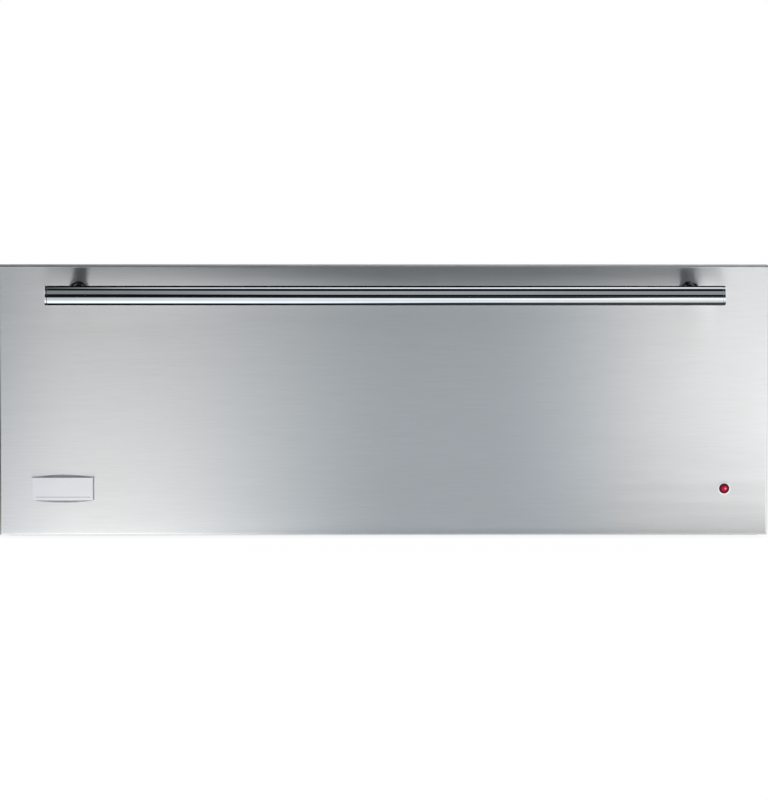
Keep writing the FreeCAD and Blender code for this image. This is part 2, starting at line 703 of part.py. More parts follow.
def cavity_liner():
    """The five-sided inner box, open at the mouth."""
    outer = rounded_block(-LINER_OUT_X, LINER_OUT_X, FRAME_BACK, LINER_OUT_Y, LINER_UNDER,
                          LINER_OVER, LINER_BEND + LINER_SHEET, Vec(0, 1, 0))
    inner = rounded_block(-LINER_X, LINER_X, FRAME_BACK - 1, LINER_BACK, LINER_FLOOR,
                          LINER_CEILING, LINER_BEND, Vec(0, 1, 0))
    tools = []
    for end in element_ends():
        tools.append(rod(end - Vec(0, 1, 0), end + Vec(0, LINER_SHEET + 1, 0),
                         ELEMENT_R + ELEMENT_HOLE_CLEAR))
    for y in slide_rivet_places():
        for side in (-1, 1):
            tools.append(rod(Vec(side * (LINER_X - 1), y, SLIDE_CENTRE),
                             Vec(side * (LINER_OUT_X + 1), y, SLIDE_CENTRE), SLIDE_RIVET_R))
    return outer.cut(inner).cut(Part.Compound(tools))


def insulation_wrap():
    """Glass-fibre wadding round and behind the liner."""
    gap = WADDING_CLEAR
    outer = block(-(CASE_INSIDE_X - BEAD_DEPTH - 2 * gap), CASE_INSIDE_X - BEAD_DEPTH - 2 * gap,
                  FRAME_BACK + gap, REAR_INSIDE - gap, CASE_SHEET + gap,
                  CHASSIS_HEIGHT - CASE_SHEET - BEAD_DEPTH - 2 * gap)
    inner = block(-LINER_OUT_X - gap, LINER_OUT_X + gap, FRAME_BACK, LINER_OUT_Y + gap,
                  LINER_UNDER - gap, LINER_OVER + gap)
    tools = [inner]
    reach = REAR_FACE
    for end in element_ends():
        tools.append(rod(end, Vec(end.x, reach, end.z), CERAMIC_R + 3))
    tools.append(rod(Vec(CUTOUT_X, LINER_BACK, CUTOUT_HEIGHT), Vec(CUTOUT_X, reach, CUTOUT_HEIGHT),
                     CUTOUT_R + 3))
    width, tall = JUNCTION_WIDTH / 2, JUNCTION_TALL / 2
    tools.append(block(JUNCTION_X - width - JUNCTION_LAP, JUNCTION_X + width + JUNCTION_LAP,
                       LINER_BACK, reach, JUNCTION_HEIGHT - tall, JUNCTION_HEIGHT + tall))
    for y in slide_rivet_places():
        for side in (-1, 1):
            tools.append(rod(Vec(side * LINER_X, y, SLIDE_CENTRE),
                             Vec(side * (LINER_OUT_X + SLIDE_RIVET_HEAD + gap), y, SLIDE_CENTRE),
                             SLIDE_RIVET_HEAD_R + gap))
    return outer.cut(Part.Compound(tools))


def element_route():
    """The heating element's path, from one end in the liner's back to the other."""
    xs = [-(index + 0.5) * ELEMENT_PITCH for index in range(ELEMENT_RUNS)]
    left = [(xs[0], LINER_OUT_Y + CERAMIC_LENGTH * 0.5)]
    ahead = True
    for x, next_x in zip(xs, xs[1:]):
        y = ELEMENT_TURN_FRONT if ahead else ELEMENT_TURN_REAR
        left += [(x, y), (next_x, y)]
        ahead = not ahead
    left.append((xs[-1], ELEMENT_FRONT))
    return left + [(-x, y) for x, y in reversed(left)]


def heating_element():
    """A sheathed rod in one plane, with a connecting blade at each end."""
    route = [Vec(x, y, ELEMENT_Z) for x, y in element_route()]
    solids = [pipe(route, ELEMENT_BEND, ELEMENT_R)]
    for end in element_ends():
        front = LINER_OUT_Y + CERAMIC_LENGTH * 0.5
        back = LINER_OUT_Y + CERAMIC_LENGTH
        solids.append(block(end.x - TAB_WIDTH / 2, end.x + TAB_WIDTH / 2, front - 1,
                            back + TAB_LENGTH, end.z - TAB_SHEET / 2, end.z + TAB_SHEET / 2))
    return joined(solids)


def element_bushes():
    """Ceramic bushes on the element's ends, behind the liner."""
    bushes = []
    for end in element_ends():
        face = Vec(end.x, LINER_OUT_Y, end.z)
        middle, back = face + Vec(0, CERAMIC_LENGTH * 0.5, 0), face + Vec(0, CERAMIC_LENGTH, 0)
        slit = block(end.x - TAB_WIDTH / 2, end.x + TAB_WIDTH / 2, middle.y - 1, back.y + 1,
                     end.z - TAB_SHEET / 2, end.z + TAB_SHEET / 2)
        sleeve = rod(face - Vec(0, 1, 0), middle, ELEMENT_R)
        bushes.append(rod(face, back, CERAMIC_R).cut(Part.Compound([sleeve, slit])))
    return Part.Compound(bushes)


def element_rails():
    """Two upright strips on the liner's floor that the element's runs pass through."""
    rails = []
    half = (ELEMENT_RUNS - 0.5) * ELEMENT_PITCH + ELEMENT_R + 8
    mid = RACK_RAIL_SHEET / 2
    for y in RACK_RAIL_PLACES:
        moves = [("run", RACK_RAIL_FOOT - mid - 1.5), ("bend", 1.5, 90),
                 ("run", RACK_RAIL_HEIGHT - mid - 1.5)]
        start = (y - RACK_RAIL_FOOT + mid, LINER_FLOOR + mid)
        rail = folded_along_x(start, 0, moves, RACK_RAIL_SHEET, -half, half)
        tools = []
        for index in range(ELEMENT_RUNS):
            for side in (-1, 1):
                x = side * (index + 0.5) * ELEMENT_PITCH
                tools.append(rod(Vec(x, y - 2, ELEMENT_Z), Vec(x, y + 2, ELEMENT_Z),
                                 ELEMENT_R + ELEMENT_HOLE_CLEAR))
        rails.append(rail.cut(Part.Compound(tools)))
    return Part.Compound(rails)


def thermal_cutout():
    """A snap-disc limit switch on the liner's back."""
    seat = Vec(CUTOUT_X, LINER_OUT_Y, CUTOUT_HEIGHT)
    out = Vec(0, 1, 0)
    body = turned([(0, 0), (CUTOUT_R, 0), (CUTOUT_R, CUTOUT_LENGTH * 0.4),
                   (CUTOUT_R * 0.85, CUTOUT_LENGTH * 0.5), (CUTOUT_R * 0.85, CUTOUT_LENGTH),
                   (0, CUTOUT_LENGTH)], seat, out)
    tabs = []
    for side in (-1, 1):
        x, y = CUTOUT_X + side * 4, LINER_OUT_Y + CUTOUT_LENGTH
        tabs.append(block(x - TAB_SHEET / 2, x + TAB_SHEET / 2, y - 1, y + TAB_LENGTH * 0.9,
                          CUTOUT_HEIGHT - TAB_WIDTH / 2, CUTOUT_HEIGHT + TAB_WIDTH / 2))
    return joined([body] + tabs)


def terminal_block():
    """Three barrels in a moulded strip on the liner's back, behind the junction cover."""
    bottom = JUNCTION_HEIGHT - JUNCTION_TALL / 2 + 4
    shape = block(JUNCTION_X - BLOCK_WIDTH / 2, JUNCTION_X + BLOCK_WIDTH / 2, LINER_OUT_Y,
                  LINER_OUT_Y + BLOCK_DEPTH, bottom, bottom + BLOCK_HEIGHT)
    pitch = BLOCK_WIDTH / 3
    tools = []
    for step in (-1, 0, 1):
        x = JUNCTION_X + step * pitch
        tools.append(rod(Vec(x, LINER_OUT_Y + BLOCK_DEPTH - 4, bottom + BLOCK_HEIGHT / 2),
                         Vec(x, LINER_OUT_Y + BLOCK_DEPTH + 1, bottom + BLOCK_HEIGHT / 2), pitch * 0.3))
    for step in (-0.5, 0.5):
        x = JUNCTION_X + step * pitch
        tools.append(block(x - 0.6, x + 0.6, LINER_OUT_Y + 3, LINER_OUT_Y + BLOCK_DEPTH + 1,
                           bottom - 1, bottom + BLOCK_HEIGHT + 1))
    return cut_away(shape, tools)


def gland_place():
    return Vec(JUNCTION_X, REAR_FACE, JUNCTION_HEIGHT + JUNCTION_TALL * 0.2)


def junction_cover():
    """The plate over the junction opening; the gland sits in it."""
    width = JUNCTION_WIDTH / 2 + JUNCTION_LAP
    tall = JUNCTION_TALL / 2 + JUNCTION_LAP
    plate = rounded_block(JUNCTION_X - width, JUNCTION_X + width, REAR_FACE,
                          REAR_FACE + JUNCTION_SHEET, JUNCTION_HEIGHT - tall,
                          JUNCTION_HEIGHT + tall, 4, Vec(0, 1, 0))
    place = gland_place()
    tools = [rod(place - Vec(0, 1, 0), place + Vec(0, JUNCTION_SHEET + 1, 0), GLAND_BODY_R)]
    tools += [screw_hole(seat, out) for seat, out in junction_screws()]
    return cut_away(plate, tools)


def cord_gland():
    """A nylon bushing through the junction cover, for the mains lead."""
    place = gland_place()
    face = JUNCTION_SHEET
    profile = [(GLAND_BORE_R, -GLAND_TAIL), (GLAND_BODY_R - 0.8, -GLAND_TAIL),
               (GLAND_BODY_R, -GLAND_TAIL + 1.5), (GLAND_BODY_R, face),
               (GLAND_HEAD_R, face), (GLAND_HEAD_R, face + GLAND_HEAD * 0.6),
               (GLAND_HEAD_R - 2, face + GLAND_HEAD), (GLAND_BORE_R, face + GLAND_HEAD)]
    return turned(profile, place, Vec(0, 1, 0))


def case_screws():
    places = cover_screws() + rear_screws() + junction_screws()
    return Part.Compound([hex_screw(seat, out) for seat, out in places])


def mouth_gasket():
    """A silicone strip on the front frame, round the mouth."""
    inset = GASKET_INSET
    depth = SEAL_GAP - SEAT_CLEAR
    outer = rounded_block(-(LINER_X + inset + GASKET_WIDTH), LINER_X + inset + GASKET_WIDTH,
                          FRAME_FACE - depth, FRAME_FACE, LINER_FLOOR - inset - GASKET_WIDTH,
                          LINER_CEILING + inset + GASKET_WIDTH, LINER_BEND + inset + GASKET_WIDTH,
                          Vec(0, 1, 0))
    inner = rounded_block(-(LINER_X + inset), LINER_X + inset, FRAME_FACE - depth - 1,
                          FRAME_FACE + 1, LINER_FLOOR - inset, LINER_CEILING + inset,
                          LINER_BEND + inset, Vec(0, 1, 0))
    return outer.cut(inner)


def front_bumpers():
    """Four rubber stops on the front frame, outside the gasket."""
    depth = SEAL_GAP - SEAT_CLEAR
    stops = []
    x = LINER_X + GASKET_INSET + GASKET_WIDTH + BUMPER_R + 2
    for z in (CHASSIS_HEIGHT * 0.1, CHASSIS_HEIGHT * 0.9):
        for side in (-1, 1):
            stops.append(turned([(0, 0), (BUMPER_R, 0), (BUMPER_R * 0.9, depth * 0.6),
                                 (BUMPER_R * 0.6, depth), (0, depth)],
                                Vec(side * x, FRAME_FACE, z), Vec(0, -1, 0)))
    return Part.Compound(stops)


# ----------------------------------------------------------------------- slides


def groove(hand):
    """Moves across one ball groove; hand is +1 with the ball on the left."""
    return [("bend", GROOVE_SHOULDER, -hand * GROOVE_HALF_ANGLE),
            ("bend", RACE_R, hand * 2 * GROOVE_HALF_ANGLE),
            ("bend", GROOVE_SHOULDER, -hand * GROOVE_HALF_ANGLE)]


def slide_strip(web, moves, thickness, y0, y1):
    """A strip of the right-hand slide, from the moves of its section's upper half.

    In a section, u runs from the liner's wall towards the drawer and w is the height
    above the slide's centre.  The lower half mirrors the upper one.
    """
    _, end, heading = follow((web, 0.0), 90, moves)
    whole = list(reversed(moves)) + moves
    face = sheet_face((end[0], -end[1]), 180 - heading, whole, thickness,
                      lambda u, w: Vec(LINER_X - u, y0, SLIDE_CENTRE + w))
    return face.extrude(Vec(0, y1 - y0, 0))


def slide_outer():
    """The member riveted to the liner's wall."""
    moves = [("run", OUTER_FLANGE - SLIDE_BEND), ("bend", SLIDE_BEND, -90),
             ("run", OUTER_ROW - OUTER_WEB - SLIDE_BEND), ("bend", RACE_R, -HOOK_ANGLE)]
    strip = slide_strip(OUTER_WEB, moves, SLIDE_SHEET, SLIDE_FRONT, SLIDE_FRONT + SLIDE_LENGTH)
    tools = [rod(Vec(LINER_X - SLIDE_SHEET - 1, y, SLIDE_CENTRE), Vec(LINER_X + 1, y, SLIDE_CENTRE),
                 SLIDE_RIVET_R) for y in slide_rivet_places()]
    return cut_away(strip, tools)


def slide_middle():
    """The member between the two ball rows; it moves half as far as the drawer."""
    moves = [("run", MIDDLE_FLANGE - SLIDE_BEND), ("bend", SLIDE_BEND, -90),
             ("run", OUTER_ROW - GROOVE_HALF - MIDDLE_WEB - SLIDE_BEND)] + groove(1)
    moves += [("run", GROOVE_PITCH - GROOVE_HALF), ("bend", RACE_R, -HOOK_ANGLE)]
    return slide_strip(MIDDLE_WEB, moves, SLIDE_SHEET, SLIDE_FRONT, SLIDE_FRONT + SLIDE_LENGTH)


def lever_pivot():
    """Centre of the right-hand lever's pin, on the inner member's face."""
    x = LINER_X - INNER_WEB + SLIDE_SHEET / 2
    return Vec(x, SLIDE_FRONT + LEVER_PLACE, SLIDE_CENTRE)


def rail_rivet_places():
    return [SLIDE_FRONT + SLIDE_LENGTH * share for share in (0.12, 0.3, 0.92)]


def slide_inner():
    """The member on the drawer's side rail, with the release lever's pin."""
    moves = [("run", INNER_FLANGE - SLIDE_BEND), ("bend", SLIDE_BEND, 90),
             ("run", INNER_WEB - SLIDE_BEND - INNER_ROW - GROOVE_HALF)] + groove(-1)
    moves += [("run", GROOVE_SHOULDER)]
    strip = slide_strip(INNER_WEB, moves, SLIDE_SHEET, SLIDE_FRONT, SLIDE_FRONT + SLIDE_LENGTH)
    tools = [rod(Vec(RAIL_OUT_X - 1, y, SLIDE_CENTRE), Vec(RAIL_OUT_X + SLIDE_SHEET + 1, y,
                                                           SLIDE_CENTRE), SLIDE_RIVET_R)
             for y in rail_rivet_places()]
    strip = cut_away(strip, tools)
    foot = lever_pivot()
    length = 2 * SEAT_CLEAR + LEVER_SHEET
    out = Vec(1, 0, 0)
    pin = rod(foot - out * SLIDE_SHEET, foot + out * length, LEVER_PIN_R)
    head = rod(foot + out * length, foot + out * (length + 0.8), LEVER_PIN_R + 1.2)
    return joined([strip, pin, head])


def release_lever():
    """A plastic latch on the inner member; pressing it frees the drawer from its slides."""
    pivot = lever_pivot() + Vec(SEAT_CLEAR, 0, 0)
    front, back = LEVER_LENGTH * 0.4, LEVER_LENGTH * 0.6
    half = LEVER_WIDTH / 2
    outline = [(-front, -half), (back - 14, -half), (back, -half * 0.4), (back, half * 0.4),
               (back - 14, half), (-front + 6, half), (-front + 3, half + 2.5),
               (-front, half + 2.5)]
    points = [pivot + Vec(0, y, z) for y, z in outline]
    plate = Part.Face(Part.makePolygon(points + [points[0]])).extrude(Vec(LEVER_SHEET, 0, 0))
    boss = rod(pivot, pivot + Vec(LEVER_SHEET, 0, 0), half + 1)
    hole = rod(pivot - Vec(1, 0, 0), pivot + Vec(LEVER_SHEET + 1, 0, 0),
               LEVER_PIN_R + LEVER_PIN_CLEAR)
    return joined([plate, boss]).cut(hole)


def ball_places(centre_y):
    return [centre_y + (index - (BALLS_PER_ROW - 1) / 2) * BALL_PITCH
            for index in range(BALLS_PER_ROW)]


def cage(web, row, row_up):
    """A folded strip that keeps two rows of balls apart; u and w as in slide_strip."""
    centre = SLIDE_FRONT + SLIDE_LENGTH / 2
    half = (BALLS_PER_ROW - 1) * BALL_PITCH / 2 + CAGE_MARGIN
    mid, bend = CAGE_SHEET / 2, CAGE_SHEET * 1.5
    moves = [("run", row_up - bend), ("bend", bend, -90), ("run", row + CAGE_REACH - web - mid - bend)]
    strip = slide_strip(web + mid, moves, CAGE_SHEET, centre - half, centre + half)
    tools = []
    for y in ball_places(centre):
        for w in (-row_up, row_up):
            place = Vec(LINER_X - row, y, SLIDE_CENTRE + w)
            tools.append(rod(place - Vec(0, 0, 1), place + Vec(0, 0, 1), BALL_R + CAGE_HOLE_CLEAR))
    return cut_away(strip, tools)


def balls(row, row_up):
    """Both slides' balls of one cage pair."""
    spheres = []
    for y in ball_places(SLIDE_FRONT + SLIDE_LENGTH / 2):
        for w in (-row_up, row_up):
            for side in (-1, 1):
                place = Vec(side * (LINER_X - row), y, SLIDE_CENTRE + w)
                spheres.append(Part.makeSphere(BALL_R, place))
    return Part.Compound(spheres)


def slide_rivets():
    """Rivets through the liner and the outer members, their heads in the insulation."""
    rivets = []
    for y in slide_rivet_places():
        base = Vec(LINER_X - SLIDE_SHEET, y, SLIDE_CENTRE)
        length = SLIDE_SHEET + LINER_SHEET
        rivet = turned([(0, 0), (SLIDE_RIVET_R, 0), (SLIDE_RIVET_R, length),
                        (SLIDE_RIVET_HEAD_R, length), (SLIDE_RIVET_HEAD_R * 0.6,
                                                       length + SLIDE_RIVET_HEAD),
                        (0, length + SLIDE_RIVET_HEAD)], base, Vec(1, 0, 0))
        rivets += both_sides(rivet)
    return Part.Compound(rivets)


def rail_rivets():
    """Rivets through the drawer's side rails and the inner members."""
    rivets = []
    for y in rail_rivet_places():
        base = Vec(RAIL_OUT_X + SLIDE_SHEET, y, SLIDE_CENTRE)
        length = SLIDE_SHEET + RAIL_SHEET
        rivet = turned([(0, 0), (SLIDE_RIVET_R, 0), (SLIDE_RIVET_R, length),
                        (SLIDE_RIVET_HEAD_R, length), (SLIDE_RIVET_HEAD_R * 0.6,
                                                       length + SLIDE_RIVET_HEAD),
                        (0, length + SLIDE_RIVET_HEAD)], base, Vec(-1, 0, 0))
        rivets += both_sides(rivet)
    return Part.Compound(rivets)


# ------------------------------------------------------------------- drawer box


def drawer_side():
    """The right-hand rail: slide seat outside, pan seat on top, foot at the front."""
    mid, bend = RAIL_SHEET / 2, RAIL_SHEET
    moves = [("run", SEAT_HEIGHT - mid - bend - RAIL_GUSSET_LOW), ("bend", bend, 90),
             ("run", SEAT_WIDTH + RAIL_SHEET - mid - bend)]
    start = (RAIL_OUT_X - mid, RAIL_GUSSET_LOW)
    rail = folded_along_y(start, 90, moves, RAIL_SHEET, PANEL_BACK, DRAWER_BACK)
    foot = block(RAIL_X - RAIL_FOOT, RAIL_OUT_X, PANEL_BACK, PANEL_BACK + RAIL_SHEET,
                 RAIL_GUSSET_LOW, SHELF_LOW - 2)
    # the gusset's sloping edge, and the long edge behind it
    gusset = PANEL_BACK + RAIL_GUSSET_LENGTH
    slope = RAIL_LOW - RAIL_GUSSET_LOW
    corners = [(PANEL_BACK + RAIL_GUSSET_LENGTH * 0.4, RAIL_GUSSET_LOW - 1),
               (gusset + slope * 0.4, RAIL_LOW), (DRAWER_BACK + 1, RAIL_LOW),
               (DRAWER_BACK + 1, RAIL_GUSSET_LOW - 1)]
    points = [Vec(RAIL_X - 1, y, z) for y, z in corners]
    below = Part.Face(Part.makePolygon(points + [points[0]])).extrude(Vec(RAIL_SHEET + 2, 0, 0))
    # the seat starts behind the control shelf
    ahead = block(RAIL_X - SEAT_WIDTH - 1, RAIL_X, PANEL_BACK - 1, SHELF_BACK + FASCIA_SHEET
                  + SEAT_CLEAR, SEAT_UNDER - bend, SEAT_HEIGHT + 1)
    tools = [below, ahead]
    for y in rail_rivet_places():
        tools.append(rod(Vec(RAIL_X - 1, y, SLIDE_CENTRE), Vec(RAIL_OUT_X + 1, y, SLIDE_CENTRE),
                         SLIDE_RIVET_R))
    tools += [screw_hole(seat, out) for seat, out in front_screws()]
    return cut_away(joined([rail, foot]), tools)


def drawer_back_rail():
    """The rear cross rail, with the pan's rear seat and a tab onto each side rail."""
    mid, bend = RAIL_SHEET / 2, RAIL_SHEET
    moves = [("run", SEAT_HEIGHT - mid - bend - BACK_RAIL_LOW), ("bend", bend, 90),
             ("run", SEAT_WIDTH + RAIL_SHEET - mid - bend)]
    rail = folded_along_x((DRAWER_BACK - mid, BACK_RAIL_LOW), 90, moves, RAIL_SHEET, -RAIL_X, RAIL_X)
    corners = []
    tabs = []
    for side in (-1, 1):
        inner, outer = side * (RAIL_X - SEAT_WIDTH - SEAT_CLEAR), side * (RAIL_X + 1)
        corners.append(block(min(inner, outer), max(inner, outer), DRAWER_BACK - SEAT_WIDTH - 5,
                             DRAWER_BACK + 1, SEAT_UNDER - bend, SEAT_HEIGHT + 1))
        a, b = side * RAIL_X, side * (RAIL_X - RAIL_SHEET)
        tabs.append(block(min(a, b), max(a, b), DRAWER_BACK - SEAT_WIDTH - RAIL_SHEET, DRAWER_BACK,
                          BACK_RAIL_LOW + 3, SEAT_UNDER - 5))
    return joined([rail.cut(Part.Compound(corners))] + tabs)


def rounded_outline(half_x, y0, y1, z, radius):
    """A closed wire: a rectangle with round corners, anticlockwise."""
    slack = radius * (1 - math.sqrt(0.5))
    edges = []
    corners = [(half_x, y0, 1, -1), (half_x, y1, 1, 1), (-half_x, y1, -1, 1), (-half_x, y0, -1, -1)]
    arcs = []
    for index, (x, y, sx, sy) in enumerate(corners):
        on_y_side = Vec(x - sx * radius, y, z)
        on_x_side = Vec(x, y - sy * radius, z)
        middle = Vec(x - sx * slack, y - sy * slack, z)
        ends = (on_y_side, on_x_side) if index % 2 == 0 else (on_x_side, on_y_side)
        arcs.append((ends[0], middle, ends[1]))
    for index, (first, middle, last) in enumerate(arcs):
        edges.append(Part.Arc(first, middle, last).toShape())
        edges.append(Part.LineSegment(last, arcs[(index + 1) % 4][0]).toShape())
    return Part.Wire(edges)


def pan_body(inset, bottom, top, floor_radius):
    """The pan's outside, or its inside with inset as the wall's thickness."""
    upper = rounded_outline(PAN_X - inset, PAN_FRONT + inset, PAN_BACK - inset, top,
                            PAN_CORNER_R - inset)
    lean = PAN_TAPER * (top - bottom) / (PAN_RIM_TOP - PAN_BOTTOM)
    lower = rounded_outline(PAN_X - inset - lean, PAN_FRONT + inset + lean, PAN_BACK - inset - lean,
                            bottom, PAN_CORNER_R - inset)
    body = Part.makeLoft([lower, upper], True, True)
    edges = [e for e in body.Edges if e.BoundBox.ZMax < bottom + 0.01]
    return body.makeFillet(floor_radius, edges)


def drawer_pan():
    """A drawn stainless pan that hangs by its rim in the drawer's seat."""
    outside = pan_body(0, PAN_BOTTOM, SEAT_HEIGHT + PAN_SHEET / 2, PAN_FLOOR_R)
    inside = pan_body(PAN_SHEET, PAN_BOTTOM + PAN_SHEET, PAN_RIM_TOP + 1, PAN_FLOOR_R - PAN_SHEET)
    outline = rounded_outline(PAN_RIM_X, PAN_RIM_FRONT, PAN_RIM_BACK, SEAT_HEIGHT, 6)
    rim = Part.Face(outline).extrude(Vec(0, 0, PAN_SHEET))
    return joined([outside, rim]).cut(inside)


def wire_rack():
    """A welded rack on short feet, on the pan's floor."""
    foot_z = PAN_BOTTOM + PAN_SHEET
    z = foot_z + RACK_FOOT + RACK_FRAME_R
    x = PAN_X - PAN_SHEET - PAN_TAPER - RACK_INSET
    y0, y1 = PAN_FRONT + PAN_TAPER + RACK_INSET, PAN_BACK - PAN_TAPER - RACK_INSET
    corner = RACK_CORNER
    solids = []
    for y in (y0, y1):
        solids.append(rod(Vec(-x + corner, y, z), Vec(x - corner, y, z), RACK_FRAME_R))
    for side in (-1, 1):
        solids.append(rod(Vec(side * x, y0 + corner, z), Vec(side * x, y1 - corner, z),
                          RACK_FRAME_R))
    turns = [(x, y1, 0), (-x, y1, 90), (-x, y0, 180), (x, y0, 270)]
    for cx, cy, start in turns:
        centre = Vec(cx - math.copysign(corner, cx), cy - corner if cy == y1 else cy + corner, z)
        bend = Part.makeTorus(corner, RACK_FRAME_R, Vec(0, 0, 0), Vec(0, 0, 1), 0, 360, 90)
        bend.rotate(Vec(0, 0, 0), Vec(0, 0, 1), start)
        bend.translate(centre)
        solids.append(bend)
    wire_z = z + RACK_FRAME_R + RACK_WIRE_R * 0.6
    pitch = 2 * (x - corner) / (RACK_WIRES + 1)
    for index in range(RACK_WIRES):
        wx = -x + corner + pitch * (index + 1)
        solids.append(rod(Vec(wx, y0 - RACK_FRAME_R, wire_z), Vec(wx, y1 + RACK_FRAME_R, wire_z),
                          RACK_WIRE_R))
    for side in (-1, 1):
        for y in (y0, y1):
            fx = side * x * 0.7
            solids.append(rod(Vec(fx, y, foot_z), Vec(fx, y, z), RACK_FRAME_R))
    return joined(solids)


# ---------------------------------------------------------------- drawer's front


def handle_posts_x():
    return (-POST_SPACING / 2, POST_SPACING / 2)


def badge_pins():
    return [Vec(BADGE_X + side * BADGE_PIN_SPACING / 2, PANEL_FACE, MARK_Z) for side in (-1, 1)]


def front_panel():
    """The stainless front: a tray with tight folds and ground square corners."""
    half = PANEL_WIDTH / 2
    face_z = (PANEL_LIFT, PANEL_TOP)

    def tray(inset, front, back, radius):
        shape = block(-half + inset, half - inset, front, back, face_z[0] + inset, face_z[1] - inset)
        edges = [e for e in shape.Edges if e.BoundBox.YMax < front + 0.01]
        return shape.makeFillet(radius, edges)

    outer = tray(0, PANEL_FACE, PANEL_BACK, PANEL_BEND)
    inner = tray(PANEL_SHEET, PANEL_INSIDE, PANEL_BACK + 1, PANEL_BEND - PANEL_SHEET)
    tools = []
    for x in handle_posts_x():
        tools.append(rod(Vec(x, PANEL_FACE - 1, HANDLE_Z), Vec(x, PANEL_INSIDE + 1, HANDLE_Z),
                         HANDLE_SCREW_R + HANDLE_SCREW_CLEAR))
    for pin in badge_pins():
        tools.append(rod(pin - Vec(0, 1, 0), pin + Vec(0, PANEL_SHEET + 1, 0),
                         BADGE_PIN_R + HOLE_CLEAR))
    lamp = Vec(LAMP_X, PANEL_FACE - 1, MARK_Z)
    tools.append(rod(lamp, lamp + Vec(0, PANEL_SHEET + 2, 0), LENS_R + PANEL_SHEET / 2))
    return cut_away(outer.cut(inner), tools)


def front_backing():
    """The flat inner skin of the front, set into the tray's folds."""
    half = PANEL_WIDTH / 2 - PANEL_SHEET
    plate = block(-half, half, BACKING_FACE, PANEL_BACK, PANEL_LIFT + PANEL_SHEET,
                  PANEL_TOP - PANEL_SHEET)
    return cut_away(plate, [screw_hole(seat, out) for seat, out in front_screws()])


def front_insulation():
    """A slab of wadding in the front, cut out round the screws and the lamp."""
    gap = WADDING_CLEAR
    half = PANEL_WIDTH / 2 - PANEL_SHEET - gap
    slab = block(-half, half, PANEL_INSIDE + gap, BACKING_FACE - gap, PANEL_LIFT + PANEL_SHEET + gap,
                 PANEL_TOP - PANEL_SHEET - gap)
    tools = []
    for x in handle_posts_x():
        tools.append(rod(Vec(x, PANEL_FACE, HANDLE_Z), Vec(x, PANEL_BACK, HANDLE_Z),
                         HANDLE_SCREW_HEAD_R + 2))
    lamp = Vec(LAMP_X, PANEL_FACE, MARK_Z)
    tools.append(rod(lamp, lamp + Vec(0, PANEL_DEPTH, 0), HOLDER_R + 2))
    for pin in badge_pins():
        tools.append(rod(pin, pin + Vec(0, PANEL_SHEET + 3, 0), BADGE_PIN_R + 2))
    for seat, out in front_screws():
        tools.append(rod(seat - out * (SCREW_BITE + 2), seat, SCREW_SHANK_R + 1))
    return cut_away(slab, tools)


def handle_bar():
    """The grip tube."""
    half = HANDLE_LENGTH / 2 - CAP_THICKNESS
    start, end = Vec(-half, HANDLE_Y, HANDLE_Z), Vec(half, HANDLE_Y, HANDLE_Z)
    return rod(start, end, HANDLE_R).cut(rod(start - Vec(1, 0, 0), end + Vec(1, 0, 0),
                                             HANDLE_R - HANDLE_WALL))


def handle_end_caps():
    """Discs with an eased rim, on plugs pressed into the tube."""
    caps = []
    for side in (-1, 1):
        out = Vec(side, 0, 0)
        seat = Vec(side * (HANDLE_LENGTH / 2 - CAP_THICKNESS), HANDLE_Y, HANDLE_Z)
        plug = HANDLE_R - HANDLE_WALL - CAP_CLEAR
        profile = [(0, -CAP_PLUG), (plug - 1, -CAP_PLUG), (plug, -CAP_PLUG + 1), (plug, 0),
                   (HANDLE_R, 0), (HANDLE_R, CAP_THICKNESS - CAP_EDGE),
                   (HANDLE_R - CAP_EDGE * 0.3, CAP_THICKNESS - CAP_EDGE * 0.3),
                   (HANDLE_R - CAP_EDGE, CAP_THICKNESS), (0, CAP_THICKNESS)]
        caps.append(turned(profile, seat, out))
    return Part.Compound(caps)


def handle_posts():
    """Two turned posts, coped to the tube and tapped from behind."""
    posts = []
    back = Vec(0, -1, 0)
    bar = rod(Vec(-HANDLE_LENGTH, HANDLE_Y, HANDLE_Z), Vec(HANDLE_LENGTH, HANDLE_Y, HANDLE_Z),
              HANDLE_R)
    for x in handle_posts_x():
        seat = Vec(x, PANEL_FACE, HANDLE_Z)
        ease = POST_FILLET * 0.3
        profile = [(0, 0), (POST_FOOT_R, 0), (POST_FOOT_R, POST_FOOT - 0.6),
                   (POST_FOOT_R - 0.6, POST_FOOT), (POST_R + POST_FILLET, POST_FOOT),
                   (POST_R + ease, POST_FOOT + ease), (POST_R, POST_FOOT + POST_FILLET),
                   (POST_R, HANDLE_STANDOFF), (0, HANDLE_STANDOFF)]
        post = turned(profile, seat, back).cut(bar)
        bore = rod(seat + Vec(0, 1, 0), seat + back * HANDLE_SCREW_BITE, HANDLE_SCREW_R)
        posts.append(post.cut(bore))
    return Part.Compound(posts)


def handle_screws():
    """M6 screws from inside the front into the posts."""
    screws = []
    for x in handle_posts_x():
        seat = Vec(x, PANEL_INSIDE, HANDLE_Z)
        out = Vec(0, 1, 0)
        shank = rod(seat - out * (PANEL_SHEET + HANDLE_SCREW_BITE), seat, HANDLE_SCREW_R)
        head = turned([(0, 0), (HANDLE_SCREW_HEAD_R, 0), (HANDLE_SCREW_HEAD_R,
                                                          HANDLE_SCREW_HEAD * 0.7),
                       (HANDLE_SCREW_HEAD_R * 0.8, HANDLE_SCREW_HEAD), (0, HANDLE_SCREW_HEAD)],
                      seat, out)
        socket = rod(seat + out * (HANDLE_SCREW_HEAD * 0.4), seat + out * (HANDLE_SCREW_HEAD + 1),
                     HANDLE_SCREW_R * 0.85)
        screws.append(joined([shank, head]).cut(socket))
    return Part.Compound(screws)


